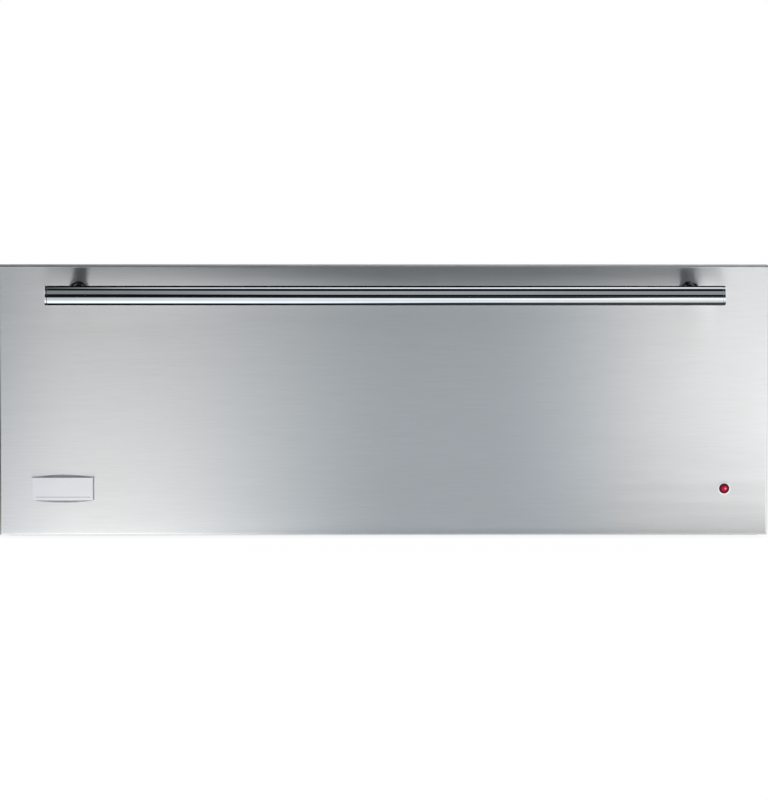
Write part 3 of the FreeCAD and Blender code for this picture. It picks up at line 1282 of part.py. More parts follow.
def badge_outline(inset, y):
    """The nameplate's outline: straight ends, long edges bowed outwards."""
    x, z = BADGE_WIDTH / 2 - inset, BADGE_HEIGHT / 2 - inset
    crown = z + BADGE_BOW
    at = [Vec(BADGE_X + a * x, y, MARK_Z + b * z) for a, b in ((-1, 1), (1, 1), (1, -1), (-1, -1))]
    top, bottom = Vec(BADGE_X, y, MARK_Z + crown), Vec(BADGE_X, y, MARK_Z - crown)
    return Part.Wire([Part.Arc(at[0], top, at[1]).toShape(), Part.LineSegment(at[1], at[2]).toShape(),
                      Part.Arc(at[2], bottom, at[3]).toShape(),
                      Part.LineSegment(at[3], at[0]).toShape()])


def nameplate():
    """A blank plate with a bevelled edge and two pins through the front."""
    bevel = BADGE_THICKNESS * 0.35
    shoulder = PANEL_FACE - BADGE_THICKNESS + bevel
    plate = Part.Face(badge_outline(0, PANEL_FACE)).extrude(Vec(0, shoulder - PANEL_FACE, 0))
    face = Part.makeLoft([badge_outline(0, shoulder),
                          badge_outline(bevel, PANEL_FACE - BADGE_THICKNESS)], True, True)
    pins = [rod(pin - Vec(0, BADGE_THICKNESS * 0.5, 0), pin + Vec(0, PANEL_SHEET + 1.5, 0),
                BADGE_PIN_R) for pin in badge_pins()]
    # an engraved line under the blank field
    x, z = BADGE_WIDTH / 2 - 4, MARK_Z - BADGE_HEIGHT * 0.36
    line = block(BADGE_X - x, BADGE_X + x, PANEL_FACE - BADGE_THICKNESS - 1,
                 PANEL_FACE - BADGE_THICKNESS + 0.25, z - 0.25, z + 0.25)
    return joined([plate, face] + pins).cut(line)


def lamp_bezel():
    """A chrome ring round the pilot lamp, with a sleeve through the front."""
    seat = Vec(LAMP_X, PANEL_FACE, MARK_Z)
    sleeve = LENS_R + PANEL_SHEET / 2 - LAMP_CLEAR / 2
    bore = LENS_R + LAMP_CLEAR / 2
    profile = [(bore, -PANEL_SHEET - 2), (sleeve, -PANEL_SHEET - 2), (sleeve, 0), (BEZEL_R, 0),
               (BEZEL_R, BEZEL_RISE * 0.5), (BEZEL_R - 0.4, BEZEL_RISE), (bore, BEZEL_RISE)]
    return turned(profile, seat, Vec(0, -1, 0))


def lamp_lens():
    """The domed jewel of the pilot lamp."""
    seat = Vec(LAMP_X, PANEL_FACE + PANEL_SHEET + 2, MARK_Z)
    body = PANEL_SHEET + 2 + BEZEL_RISE
    profile = [(0, 0), (LENS_R, 0), (LENS_R, body)]
    steps = 4
    for index in range(1, steps):
        turn = math.pi / 2 * index / steps
        profile.append((LENS_R * math.cos(turn), body + LENS_DOME * math.sin(turn)))
    profile.append((0, body + LENS_DOME))
    return turned(profile, seat, Vec(0, -1, 0))


def lamp_holder():
    """The lamp's socket behind the front, with two blades."""
    seat = Vec(LAMP_X, PANEL_FACE + PANEL_SHEET + 2, MARK_Z)
    out = Vec(0, 1, 0)
    body = turned([(0, 0), (HOLDER_R, 0), (HOLDER_R, HOLDER_LENGTH * 0.6),
                   (HOLDER_R * 0.8, HOLDER_LENGTH * 0.65), (HOLDER_R * 0.8, HOLDER_LENGTH),
                   (0, HOLDER_LENGTH)], seat, out)
    blades = []
    for side in (-1, 1):
        x, y = LAMP_X + side * 2.4, seat.y + HOLDER_LENGTH
        blades.append(block(x - TAB_SHEET / 2, x + TAB_SHEET / 2, y - 1, y + 3, MARK_Z - 1.4,
                            MARK_Z + 1.4))
    return joined([body] + blades)


# ---------------------------------------------------------------- control shelf


def vent_slots_x(shift=0.0):
    return [VENT_X + shift + (index - (VENT_SLOTS - 1) / 2) * VENT_PITCH
            for index in range(VENT_SLOTS)]


VENT_ARRAY = (VENT_SLOTS - 1) * VENT_PITCH / 2 + VENT_SLOT_WIDTH / 2
THUMB_X = VENT_X + VENT_ARRAY + VENT_MARGIN + THUMB_WIDTH / 2
RIVET_LEFT = VENT_X - VENT_ARRAY - VENT_MARGIN
RIVET_RIGHT = THUMB_X + THUMB_WIDTH / 2 + VENT_MARGIN + VENT_TRAVEL
SLIDER_TOP = SEAT_HEIGHT - VENT_GAP
SLIDER_UNDER = SLIDER_TOP - VENT_SHEET


def control_housing():
    """The box section behind the front that the fascia closes."""
    mid, bend = SHELF_SHEET / 2, SHELF_SHEET
    lip = SHELF_LIP - mid - bend
    tall = SEAT_HEIGHT - SHELF_LOW - 2 * (mid + bend)
    deep = SHELF_DEPTH - 2 * (mid + bend)
    moves = [("run", lip), ("bend", bend, 90), ("run", tall), ("bend", bend, 90), ("run", deep),
             ("bend", bend, 90), ("run", tall), ("bend", bend, 90), ("run", lip)]
    shape = folded_along_x((SHELF_FRONT + SHELF_LIP, SEAT_HEIGHT - mid), 180, moves, SHELF_SHEET,
                           -RAIL_X, RAIL_X)
    tools = [screw_hole(seat, out) for seat, out in shelf_screws() + front_screws()]
    # breathing slots in the rear wall, behind the vent
    for x in vent_slots_x():
        tools.append(block(x - VENT_SLOT_WIDTH / 2, x + VENT_SLOT_WIDTH / 2, SHELF_BACK - 3,
                           SHELF_BACK + 1, SHELF_LOW + 14, SEAT_UNDER - 12))
    start = capillary_start()
    tools.append(rod(Vec(start.x, SHELF_BACK - 3, start.z), Vec(start.x, SHELF_BACK + 1, start.z),
                     CAPILLARY_R + 1))
    return cut_away(shape, tools)


def capillary_start():
    return Vec(KNOB_X, SHELF_MID + STAT_DEPTH / 2, SEAT_HEIGHT - STAT_HEIGHT * 0.7)


def control_fascia():
    """The stainless lid of the control shelf, with a skirt behind."""
    mid, bend = FASCIA_SHEET / 2, FASCIA_SHEET
    moves = [("run", SHELF_DEPTH - SEAT_CLEAR + FASCIA_SHEET - mid - bend), ("bend", bend, -90),
             ("run", FASCIA_SKIRT + FASCIA_SHEET - mid - bend)]
    end = RAIL_X - SEAT_CLEAR
    shape = folded_along_x((SHELF_FRONT + SEAT_CLEAR, SEAT_HEIGHT + mid), 0, moves, FASCIA_SHEET,
                           -end, end)
    low, high = SEAT_HEIGHT - 1, FASCIA_TOP + 1
    tools = [slot_cutter(x, SHELF_MID, VENT_SLOT_LENGTH, VENT_SLOT_WIDTH, low, high)
             for x in vent_slots_x()]
    tools.append(block(THUMB_X - THUMB_WIDTH / 2 - SEAT_CLEAR - VENT_TRAVEL,
                       THUMB_X + THUMB_WIDTH / 2 + SEAT_CLEAR,
                       SHELF_MID - THUMB_SHEET / 2 - SEAT_CLEAR,
                       SHELF_MID + THUMB_SHEET / 2 + SEAT_CLEAR, low, high))
    for x in (RIVET_LEFT, RIVET_RIGHT):
        tools.append(rod(Vec(x, SHELF_MID, low), Vec(x, SHELF_MID, high), VENT_RIVET_R))
    tools.append(rod(Vec(KNOB_X, SHELF_MID, low), Vec(KNOB_X, SHELF_MID, high), NECK_R))
    tools += [screw_hole(seat, out) for seat, out in shelf_screws()]
    return cut_away(shape, tools)


def vent_slider():
    """The shutter under the fascia; its thumb tab stands through a slot."""
    # closed: its slots lie between the fascia's, half a pitch along
    left = RIVET_LEFT - VENT_RIVET_HEAD_R - 2
    right = RIVET_RIGHT + VENT_RIVET_HEAD_R + 2
    half = VENT_SLOT_LENGTH / 2 + VENT_SIDE
    plate = rounded_block(left, right, SHELF_MID - half, SHELF_MID + half, SLIDER_UNDER, SLIDER_TOP,
                          3, Vec(0, 0, 1))
    thumb = rounded_block(THUMB_X - THUMB_WIDTH / 2, THUMB_X + THUMB_WIDTH / 2,
                          SHELF_MID - THUMB_SHEET / 2, SHELF_MID + THUMB_SHEET / 2, SLIDER_UNDER,
                          FASCIA_TOP + THUMB_HEIGHT, 1, Vec(0, 1, 0))
    tools = [slot_cutter(x, SHELF_MID, VENT_SLOT_LENGTH, VENT_SLOT_WIDTH, SLIDER_UNDER - 1,
                         SLIDER_TOP + 1) for x in vent_slots_x(VENT_TRAVEL)[:-1]]
    width = 2 * (VENT_RIVET_R + SEAT_CLEAR)
    for x in (RIVET_LEFT, RIVET_RIGHT):
        tools.append(slot_cutter(x + VENT_TRAVEL / 2, SHELF_MID, width + VENT_TRAVEL, width,
                                 SLIDER_UNDER - 1, SLIDER_TOP + 1, along_y=False))
    return cut_away(plate, tools).fuse(thumb).removeSplitter()


def vent_rivets():
    """Shoulder rivets in the fascia that the vent's shutter slides on."""
    rivets = []
    for x in (RIVET_LEFT, RIVET_RIGHT):
        top = Vec(x, SHELF_MID, FASCIA_TOP)
        reach = FASCIA_TOP - SLIDER_UNDER + SEAT_CLEAR
        rivets.append(turned([(0, 0), (VENT_RIVET_R, 0), (VENT_RIVET_R, reach),
                              (VENT_RIVET_HEAD_R, reach), (VENT_RIVET_HEAD_R * 0.7,
                                                           reach + VENT_RIVET_HEAD),
                              (0, reach + VENT_RIVET_HEAD)], top, Vec(0, 0, -1)))
    return Part.Compound(rivets)


def fascia_screws():
    return Part.Compound([pan_screw(seat, out) for seat, out in shelf_screws()])


def front_fixings():
    return Part.Compound([hex_screw(seat, out) for seat, out in front_screws()])


def dial_plate():
    """A round plate under the knob, with engraved marks over the knob's sweep."""
    base = Vec(KNOB_X, SHELF_MID, FASCIA_TOP)
    disc = turned([(NECK_R, 0), (DIAL_R, 0), (DIAL_R, DIAL_SHEET * 0.6),
                   (DIAL_R - DIAL_SHEET * 0.4, DIAL_SHEET), (NECK_R, DIAL_SHEET)], base,
                  Vec(0, 0, 1))
    marks = []
    count = 10
    for index in range(count):
        mark = block(KNOB_SKIRT_R + 0.8, DIAL_R - 1.2, -0.3, 0.3, DIAL_SHEET * 0.65, DIAL_SHEET + 1)
        mark.rotate(Vec(0, 0, 0), Vec(0, 0, 1), 90 - KNOB_TURN * index / (count - 1))
        mark.translate(base)
        marks.append(mark)
    return cut_away(disc, marks)


def thermostat_body():
    """The switch body hung under the fascia by its threaded neck."""
    x0, x1 = KNOB_X - STAT_WIDTH / 2, KNOB_X + STAT_WIDTH / 2
    y0, y1 = SHELF_MID - STAT_DEPTH / 2, SHELF_MID + STAT_DEPTH / 2
    low = SEAT_HEIGHT - STAT_HEIGHT
    body = rounded_block(x0, x1, y0, y1, low, SEAT_HEIGHT, 3, Vec(0, 0, 1))
    neck = rod(Vec(KNOB_X, SHELF_MID, SEAT_HEIGHT - 1), Vec(KNOB_X, SHELF_MID, FASCIA_TOP + DIAL_SHEET),
               NECK_R)
    tabs = []
    for step in (-1, 0, 1):
        x = KNOB_X + step * 12
        tabs.append(block(x - TAB_WIDTH / 2, x + TAB_WIDTH / 2, SHELF_MID - 0.4, SHELF_MID + 0.4,
                          low - TAB_LENGTH, low + 1))
    bore = rod(Vec(KNOB_X, SHELF_MID, SEAT_HEIGHT - 6), Vec(KNOB_X, SHELF_MID, FASCIA_TOP + 5),
               SHAFT_R + SHAFT_CLEAR)
    return joined([body, neck] + tabs).cut(bore)


def thermostat_sensor():
    """The capillary, and the bulb in two clips on the shelf's rear wall."""
    start = capillary_start()
    y = SHELF_BACK + BULB_R + BULB_GAP
    bulb_x = KNOB_X - BULB_SETBACK
    tube = pipe([start, Vec(start.x, y, start.z), Vec(bulb_x, y, start.z)], 5.0, CAPILLARY_R)
    bulb = turned([(0, 0), (BULB_R * 0.6, 0), (BULB_R, 3), (BULB_R, BULB_LENGTH - 3),
                   (BULB_R * 0.6, BULB_LENGTH), (0, BULB_LENGTH)], Vec(bulb_x, y, start.z),
                  Vec(-1, 0, 0))
    clips = []
    for share in (0.25, 0.75):
        x = bulb_x - BULB_LENGTH * share
        ring = rod(Vec(x - 3, y, start.z), Vec(x + 3, y, start.z), BULB_R + 0.8)
        foot = block(x - 3, x + 3, SHELF_BACK, y, start.z - 1.6, start.z + 1.6)
        clips += [ring, foot]
    return joined([tube, bulb] + clips)


def knob_base():
    return Vec(KNOB_X, SHELF_MID, FASCIA_TOP + DIAL_SHEET + KNOB_GAP)


def d_section(base, length, clear=0.0):
    """A round shaft with one flat, standing on base."""
    radius = SHAFT_R + clear
    shaft = Part.makeCylinder(radius, length, base)
    flat = SHAFT_R - SHAFT_FLAT + clear
    return shaft.cut(block(base.x - radius - 1, base.x + radius + 1, base.y - radius - 1,
                           base.y - flat, base.z - 1, base.z + length + 1))


def control_knob():
    """A fluted knob with a skirt and a pointer groove; off points to the rear."""
    base = knob_base()
    up = Vec(0, 0, 1)
    body = turned([(0, 0), (KNOB_SKIRT_R, 0), (KNOB_SKIRT_R, KNOB_SKIRT * 0.5),
                   (KNOB_SKIRT_R - 1.2, KNOB_SKIRT), (KNOB_R, KNOB_SKIRT + 0.6),
                   (KNOB_R - 0.8, KNOB_HEIGHT - 1.6), (KNOB_R - 2.2, KNOB_HEIGHT),
                   (0, KNOB_HEIGHT)], base, up)
    tools = []
    for index in range(KNOB_FLUTES):
        turn = 2 * math.pi * (index + 0.5) / KNOB_FLUTES
        reach = KNOB_R + KNOB_FLUTE_R - KNOB_FLUTE_BITE
        foot = base + Vec(reach * math.sin(turn), reach * math.cos(turn), KNOB_SKIRT + 0.6)
        tools.append(Part.makeCylinder(KNOB_FLUTE_R, KNOB_HEIGHT, foot))
    tools.append(block(base.x - 0.7, base.x + 0.7, base.y + KNOB_R * 0.35, base.y + KNOB_R,
                       base.z + KNOB_HEIGHT - 0.8, base.z + KNOB_HEIGHT + 1))
    tools.append(d_section(base - up, SHAFT_GRIP + 1))
    return cut_away(body, tools)


def thermostat_shaft():
    base = Vec(KNOB_X, SHELF_MID, SEAT_HEIGHT - 5)
    length = knob_base().z + SHAFT_GRIP - base.z
    return d_section(base, length)


# ------------------------------------------------------------------------ output

outer_slide, middle_slide, inner_slide = slide_outer(), slide_middle(), slide_inner()
outer_cage = cage(OUTER_CAGE_WEB, OUTER_ROW, OUTER_ROW_UP)
inner_cage = cage(INNER_CAGE_WEB, INNER_ROW, INNER_ROW_UP)
side_rail = drawer_side()
lever = release_lever()

PARTS = {
    # chassis
    "chassis_base": chassis_base(),
    "chassis_top_cover": chassis_top_cover(),
    "chassis_rear_panel": chassis_rear_panel(),
    "front_frame": front_frame(),
    "cavity_liner": cavity_liner(),
    "insulation_wrap": insulation_wrap(),
    "heating_element": heating_element(),
    "element_bushes": element_bushes(),
    "element_rails": element_rails(),
    "thermal_cutout": thermal_cutout(),
    "terminal_block": terminal_block(),
    "junction_cover": junction_cover(),
    "cord_gland": cord_gland(),
    "case_screws": case_screws(),
    "mouth_gasket": mouth_gasket(),
    "front_bumpers": front_bumpers(),
    "slide_outer_right": outer_slide,
    "slide_outer_left": mirrored(outer_slide),
    "slide_rivets": slide_rivets(),
    # slides
    "slide_middle_right": middle_slide,
    "slide_middle_left": mirrored(middle_slide),
    "cage_outer_right": outer_cage,
    "cage_outer_left": mirrored(outer_cage),
    "balls_outer": balls(OUTER_ROW, OUTER_ROW_UP),
    "cage_inner_right": inner_cage,
    "cage_inner_left": mirrored(inner_cage),
    "balls_inner": balls(INNER_ROW, INNER_ROW_UP),
    # drawer
    "slide_inner_right": inner_slide,
    "slide_inner_left": mirrored(inner_slide),
    "rail_rivets": rail_rivets(),
    "drawer_side_right": side_rail,
    "drawer_side_left": mirrored(side_rail),
    "drawer_back_rail": drawer_back_rail(),
    "drawer_pan": drawer_pan(),
    "wire_rack": wire_rack(),
    "front_panel": front_panel(),
    "front_backing": front_backing(),
    "front_insulation": front_insulation(),
    "front_screws": front_fixings(),
    "handle_bar": handle_bar(),
    "handle_end_caps": handle_end_caps(),
    "handle_posts": handle_posts(),
    "handle_screws": handle_screws(),
    "nameplate": nameplate(),
    "lamp_bezel": lamp_bezel(),
    "lamp_lens": lamp_lens(),
    "lamp_holder": lamp_holder(),
    "control_housing": control_housing(),
    "control_fascia": control_fascia(),
    "fascia_screws": fascia_screws(),
    "dial_plate": dial_plate(),
    "thermostat_body": thermostat_body(),
    "thermostat_sensor": thermostat_sensor(),
    "vent_rivets": vent_rivets(),
    # moved by hand
    "control_knob": control_knob(),
    "thermostat_shaft": thermostat_shaft(),
    "vent_slider": vent_slider(),
    "release_lever_right": lever,
    "release_lever_left": mirrored(lever),
}

os.makedirs("parts", exist_ok=True)
for name, shape in PARTS.items():
    shape.exportStep(f"parts/{name}.step")
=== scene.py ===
# %% [markdown]
# # A warming drawer, finished in Blender
# The drawer's solids come from CAD and arrive here packed as a fixed frame. This file gives
# each surface the finish of the real thing: brushed, polished and drawn stainless steel, zinc
# coated sheet, moulded plastic, ceramic. It also rebuilds what is small and round with smooth
# meshes. Read it from the top, one cell at a time: each value stands where it is first used.

# %% Load the frame
import math

import bmesh
import bpy
from mathutils import Matrix, Quaternion, Vector


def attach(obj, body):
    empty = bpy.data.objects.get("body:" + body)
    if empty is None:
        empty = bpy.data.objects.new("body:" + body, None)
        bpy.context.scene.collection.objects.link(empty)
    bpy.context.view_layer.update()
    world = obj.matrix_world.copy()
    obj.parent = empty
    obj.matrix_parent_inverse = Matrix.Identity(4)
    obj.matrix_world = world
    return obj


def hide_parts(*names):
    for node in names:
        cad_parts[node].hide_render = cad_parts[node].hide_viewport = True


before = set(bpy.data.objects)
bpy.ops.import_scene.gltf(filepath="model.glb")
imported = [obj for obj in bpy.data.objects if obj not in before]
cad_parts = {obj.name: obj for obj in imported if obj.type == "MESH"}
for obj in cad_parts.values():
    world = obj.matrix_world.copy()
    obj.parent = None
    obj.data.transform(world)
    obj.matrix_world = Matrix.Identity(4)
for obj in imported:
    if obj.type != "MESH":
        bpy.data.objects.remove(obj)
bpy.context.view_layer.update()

MM = 0.001

# %% [markdown]
# ## The camera
# A wide, flat front is best seen from far off with a long lens, so that its edges stay
# parallel. The camera stands five metres in front and a little above, low enough that the
# front hides the chassis behind it. Blender needs a place, a direction and a focal length; a
# twelfth of a degree of roll sets the front's long edges level.

# %% Place the camera
CAMERA_PLACE = Vector((-0.0912, -5.285, 0.596))
CAMERA_AIM = Vector((-0.00015, -0.285, 0.13660))
CAMERA_ROLL = 0.00146
FOCAL_LENGTH = 229.80


def studio_camera():
    lens = bpy.data.cameras.new("studio_camera")
    lens.lens = FOCAL_LENGTH
    lens.sensor_width = 36
    lens.clip_start, lens.clip_end = 0.05, 60
    camera = bpy.data.objects.new("studio_camera", lens)
    camera.location = CAMERA_PLACE
    level = (CAMERA_AIM - CAMERA_PLACE).to_track_quat("-Z", "Y")
    camera.rotation_euler = (level @ Quaternion((0, 0, 1), CAMERA_ROLL)).to_euler()
    bpy.context.collection.objects.link(camera)
    bpy.context.scene.camera = camera
    return camera


camera = studio_camera()
print("camera at", [round(c, 3) for c in camera.location], "with a", FOCAL_LENGTH, "mm lens")

# %% [markdown]
# ## Helpers for node trees
# Materials and Geometry Nodes are both trees of nodes. One helper adds a node and feeds its
# inputs, where an input is either a number or another node's output. An output is wrapped as
# a Signal, so that a sum can be written as a sum: each + or * on a Signal adds a Math node.
# A ramp maps one range to another, and an ease does the same with soft ends.

# %% Helpers for node trees
def add(tree, kind, inputs=None, **settings):
    """A new node with its options set; a list feeds one input several times."""
    made = tree.nodes.new(kind)
    for name, value in settings.items():
        setattr(made, name, value)
    for key, value in (inputs or {}).items():
        if isinstance(value, (Signal, list)):
            for signal in value if isinstance(value, list) else [value]:
                tree.links.new(signal.socket, made.inputs[key])
        else:
            made.inputs[key].default_value = value
    return made


def get(tree, kind, inputs=None, output=0, **settings):
    """One output of a new node."""
    return Signal(tree, add(tree, kind, inputs, **settings).outputs[output])


def outputs_of(tree, kind, inputs=None, **settings):
    """All outputs of a new node, by name."""
    made = add(tree, kind, inputs, **settings)
    return {socket.name: Signal(tree, socket) for socket in made.outputs}


class Signal:
    """A node's output, with the nodes that most often follow it."""

    def __init__(self, tree, socket):
        self.tree, self.socket = tree, socket

    def maths(self, operation, *values):
        return get(self.tree, "ShaderNodeMath", dict(enumerate((self, *values))),
                   operation=operation)

    def after(self, value, operation):
        """The same with the signal as the second value."""
        return get(self.tree, "ShaderNodeMath", {0: value, 1: self}, operation=operation)

    def __add__(self, value):
        return self.maths("ADD", value)

    def __radd__(self, value):
        return self.after(value, "ADD")

    def __sub__(self, value):
        return self.maths("SUBTRACT", value)

    def __rsub__(self, value):
        return self.after(value, "SUBTRACT")

    def __mul__(self, value):
        return self.maths("MULTIPLY", value)

    def __truediv__(self, value):
        return self.maths("DIVIDE", value)

    def __rtruediv__(self, value):
        return self.after(value, "DIVIDE")

    def vectors(self, operation, inputs=None, output=0):
        return get(self.tree, "ShaderNodeVectorMath", {0: self, **(inputs or {})}, output,
                   operation=operation)

    def ramp(self, low, high, to_low=0.0, to_high=1.0, kind="LINEAR"):
        """Maps low..high to to_low..to_high, and holds the ends."""
        return get(self.tree, "ShaderNodeMapRange",
                   {0: self, 1: low, 2: high, 3: to_low, 4: to_high}, interpolation_type=kind)

    def ease(self, *ends):
        return self.ramp(*ends, kind="SMOOTHSTEP")

    def mix(self, at_none, at_full):
        return get(self.tree, "ShaderNodeMix", {0: self, 2: at_none, 3: at_full})


def xyz(tree, x=0.0, y=0.0, z=0.0):
    return get(tree, "ShaderNodeCombineXYZ", {0: x, 1: y, 2: z})


def new_group(kind, name, inputs, outputs):
    """An empty group, and its inputs by name."""
    tree = bpy.data.node_groups.new(name, kind)
    for title, socket, value in inputs:
        made = tree.interface.new_socket(title, in_out="INPUT", socket_type=socket)
        if value is not None:
            made.default_value = value
    for title, socket in outputs:
        tree.interface.new_socket(title, in_out="OUTPUT", socket_type=socket)
    return tree, outputs_of(tree, "NodeGroupInput")


VALUE, VECTOR, COUNT = "NodeSocketFloat", "NodeSocketVector", "NodeSocketInt"
print("helpers ready")

# %% [markdown]
# ## Surface effects as node groups
# Each effect group puts out the same three things, so any material can use any of them:
# Tone shifts the colour, Wear shifts the roughness, and Height goes to a Bump node.
# Brushing is noise that is squeezed across the grain and stretched along it. The real mark
# is a fine scratch from an abrasive belt, with a few longer and softer streaks among them.

# %% Brushed grain
def effect_group(name, **sizes):
    """A group that takes a place and some sizes, here in mm."""
    inputs = [("Vector", VECTOR, None)]
    inputs += [(title.replace("_", " "), VALUE, size * MM) for title, size in sizes.items()]
    return new_group("ShaderNodeTree", name, inputs,
                     [("Tone", VALUE), ("Wear", VALUE), ("Height", VALUE)])


def close_effect(tree, tone, wear, height):
    add(tree, "NodeGroupOutput", {"Tone": tone, "Wear": wear, "Height": height})
    print("effect:", tree.name)
    return tree


def noise(place, scale, detail=2.0, roughness=0.5, output=0):
    return get(place.tree, "ShaderNodeTexNoise", {
        "Vector": place, "Scale": scale, "Detail": detail, "Roughness": roughness}, output)


def brushed_group():
    tree, give = effect_group("brushed grain", Line_width=0.4, Line_length=40, Streak_width=3)
    across, along, _ = outputs_of(tree, "ShaderNodeSeparateXYZ", {0: give["Vector"]}).values()
    fine = noise(xyz(tree, across / give["Line width"], along / give["Line length"]),
                 0.5, 3.0, 0.6)
    slow = noise(xyz(tree, across / give["Streak width"],
                     along / (give["Line length"] * 4.0), 7.0), 0.5)
    blend = fine * 0.6 + slow * 0.4
    return close_effect(tree, blend.ramp(0.3, 0.7), slow.ease(0.35, 0.65), fine)


BRUSHED = brushed_group()

# %% [markdown]
# Zinc on galvanised sheet sets in crystals, called spangle. A Voronoi texture gives cells
# of one tone each, as crystals are, and a little noise keeps their edges from being straight.

# %% Zinc spangle
def counted_in(place, size):
    """Coordinates counted in a feature's size, for a texture of scale one."""
    return place.vectors("SCALE", {3: 1.0 / size})


def spangle_group():
    tree, give = effect_group("zinc spangle", Crystal=9)
    place = counted_in(give["Vector"], give["Crystal"])
    bend = noise(place, 1.3, output="Color")
    shifted = get(tree, "ShaderNodeMix", {0: 0.22, 4: place, 5: bend}, 1, data_type="VECTOR")
    cells = get(tree, "ShaderNodeTexVoronoi", {"Vector": shifted, "Scale": 1.0}, "Color")
    tone, wear, rise = outputs_of(tree, "ShaderNodeSeparateColor", {0: cells}).values()
    return close_effect(tree, tone, wear, rise * 0.3)


SPANGLE = spangle_group()

# %% [markdown]
# Drawn, rolled and glazed surfaces vary softly, in clouds. Moulded plastic has a fine
# eroded texture from its mould. Both are plain noise, at two very different sizes, so one
# group with two sizes does for all of them.

# %% Clouds and moulded texture
def cloudy_group():
    tree, give = effect_group("clouds and pits", Cloud=40, Pit=0.5)
    cloud = noise(counted_in(give["Vector"], give["Cloud"]), 1.0, 4.0)
    pit = noise(counted_in(give["Vector"], give["Pit"]), 1.0)
    both = cloud * 0.7 + pit * 0.3
    return close_effect(tree, cloud.ramp(0.3, 0.7), both.ramp(0.35, 0.65), pit)


CLOUDY = cloudy_group()

# %% [markdown]
# Glass wadding is a felt of fibres that lie every way but mostly flat. A wave whose
# coordinates are bent by noise makes crossing strands.

# %% Fibres
def fibre_group():
    tree, give = effect_group("felted fibres", Fibre=1.2)
    place = counted_in(give["Vector"], give["Fibre"])
    wide = noise(place, 0.12, 3.0, output="Color").vectors("SCALE", {3: 14.0})
    strand = get(tree, "ShaderNodeTexWave", {
        "Vector": place.vectors("ADD", {1: wide}), "Scale": 0.3, "Distortion": 6.0,
        "Detail": 3.0}, 1)
    clump = noise(place, 0.03, 3.0)
    return close_effect(tree, strand * clump, clump, strand + clump * 4.0)


FIBRES = fibre_group()

# %% [markdown]
# ## Materials
# One function makes every finish: an effect group blends two colours and two roughnesses,
# and gives the bump. The Principled shader stays in the material. Anisotropy and coat are
# the same all over, so they are set on the shader's own sockets. A brushed part reads its
# own UV map, laid across and along the grain in metres, and the same map gives the shader
# its tangent: reflections stretch across the scratches.

# %% The functions that make a finish
def new_material(name):
    material = bpy.data.materials.new(name)
    material.use_nodes = True
    material.node_tree.nodes.clear()
    return material, material.node_tree


def object_place(tree):
    return get(tree, "ShaderNodeTexCoord", output="Object")


def mix_colours(tree, share, at_none, at_full):
    return get(tree, "ShaderNodeMix", {0: share, 6: at_none, 7: at_full}, 2, data_type="RGBA")


def finish(name, dark, light, roughness, effect, sizes, bump=0.0, metallic=1.0,
           grain_uv=False, **sockets):
    """A finish between two colours and two roughnesses; sizes and bump are in mm."""
    material, tree = new_material(name)
    place = get(tree, "ShaderNodeUVMap", uv_map="grain") if grain_uv else object_place(tree)
    inputs = {title: size * MM for title, size in sizes.items()}
    tone, wear, height = outputs_of(tree, "ShaderNodeGroup", {"Vector": place, **inputs},
                                    node_tree=effect).values()
    shader = {"Base Color": mix_colours(tree, tone, (*dark, 1.0), (*light, 1.0)),
              "Roughness": wear.ramp(0.0, 1.0, *roughness), "Metallic": metallic}
    shader.update({title.replace("_", " "): value for title, value in sockets.items()})
    if bump:
        shader["Normal"] = get(tree, "ShaderNodeBump", {
            "Strength": 1.0, "Distance": bump * MM, "Height": height})
    if grain_uv:
        shader["Tangent"] = get(tree, "ShaderNodeTangent", direction_type="UV_MAP",
                                uv_map="grain")
    add(tree, "ShaderNodeOutputMaterial", {0: get(tree, "ShaderNodeBsdfPrincipled", shader)})
    return material


def clouded(name, dark, light, roughness, cloud, pit, **settings):
    return finish(name, dark, light, roughness, CLOUDY, {"Cloud": cloud, "Pit": pit},
                  **settings)


print("finishes can be made")

# %% [markdown]
# Stainless steel comes in seven finishes here. The front and the fascia are belt brushed
# along X, and the nameplate is a finer satin. The lamp's ring is satin too, and duller. The
# handle's tube and caps are polished. Its posts are polished too, but near black: a painted
# dark reflection of the dark they face. The rack's wire is drawn bright, and the pan is deep
# drawn and keeps soft rolling marks. Steel is metallic 1 and, but for the posts' painted
# dark, only slightly darker than silver.

# %% Stainless steels
BRUSHED_STEEL = finish(
    "stainless brushed", (0.733, 0.735, 0.737), (0.79, 0.792, 0.794), (0.318, 0.348), BRUSHED,
    {"Line width": 0.8, "Line length": 18, "Streak width": 4.5}, bump=0.004, grain_uv=True,
    Anisotropic=1.0)
PLATE_STEEL = finish(
    "stainless satin plate", (0.70, 0.705, 0.735), (0.75, 0.755, 0.78), (0.34, 0.40), BRUSHED,
    {"Line width": 0.25, "Line length": 12, "Streak width": 1.5}, bump=0.002, grain_uv=True,
    Anisotropic=0.8)
RING_STEEL = clouded("stainless satin ring", (0.86, 0.85, 0.85), (0.92, 0.905, 0.905),
                     (0.42, 0.52), 4, 0.4, bump=0.002)
POLISHED_STEEL = clouded("stainless polished", (0.86, 0.865, 0.87), (0.90, 0.905, 0.91),
                         (0.035, 0.075), 25, 2)
# Painted dark reflection and shade: near-black steel for the posts, which mirror dark
# surroundings, and for the left cap's joint.
DARK_REFLECTION_AND_SHADE_STEEL = clouded("stainless dark", (0.13, 0.132, 0.134), (0.17, 0.172, 0.174),
                     (0.05, 0.10), 20, 1.5)
WIRE_STEEL = clouded("stainless wire", (0.72, 0.725, 0.73), (0.82, 0.825, 0.83),
                     (0.14, 0.26), 18, 0.6, bump=0.004)
DRAWN_STEEL = clouded("stainless drawn", (0.66, 0.665, 0.67), (0.74, 0.745, 0.75),
                      (0.24, 0.34), 55, 1.2, bump=0.01)
print("stainless finishes: 7")

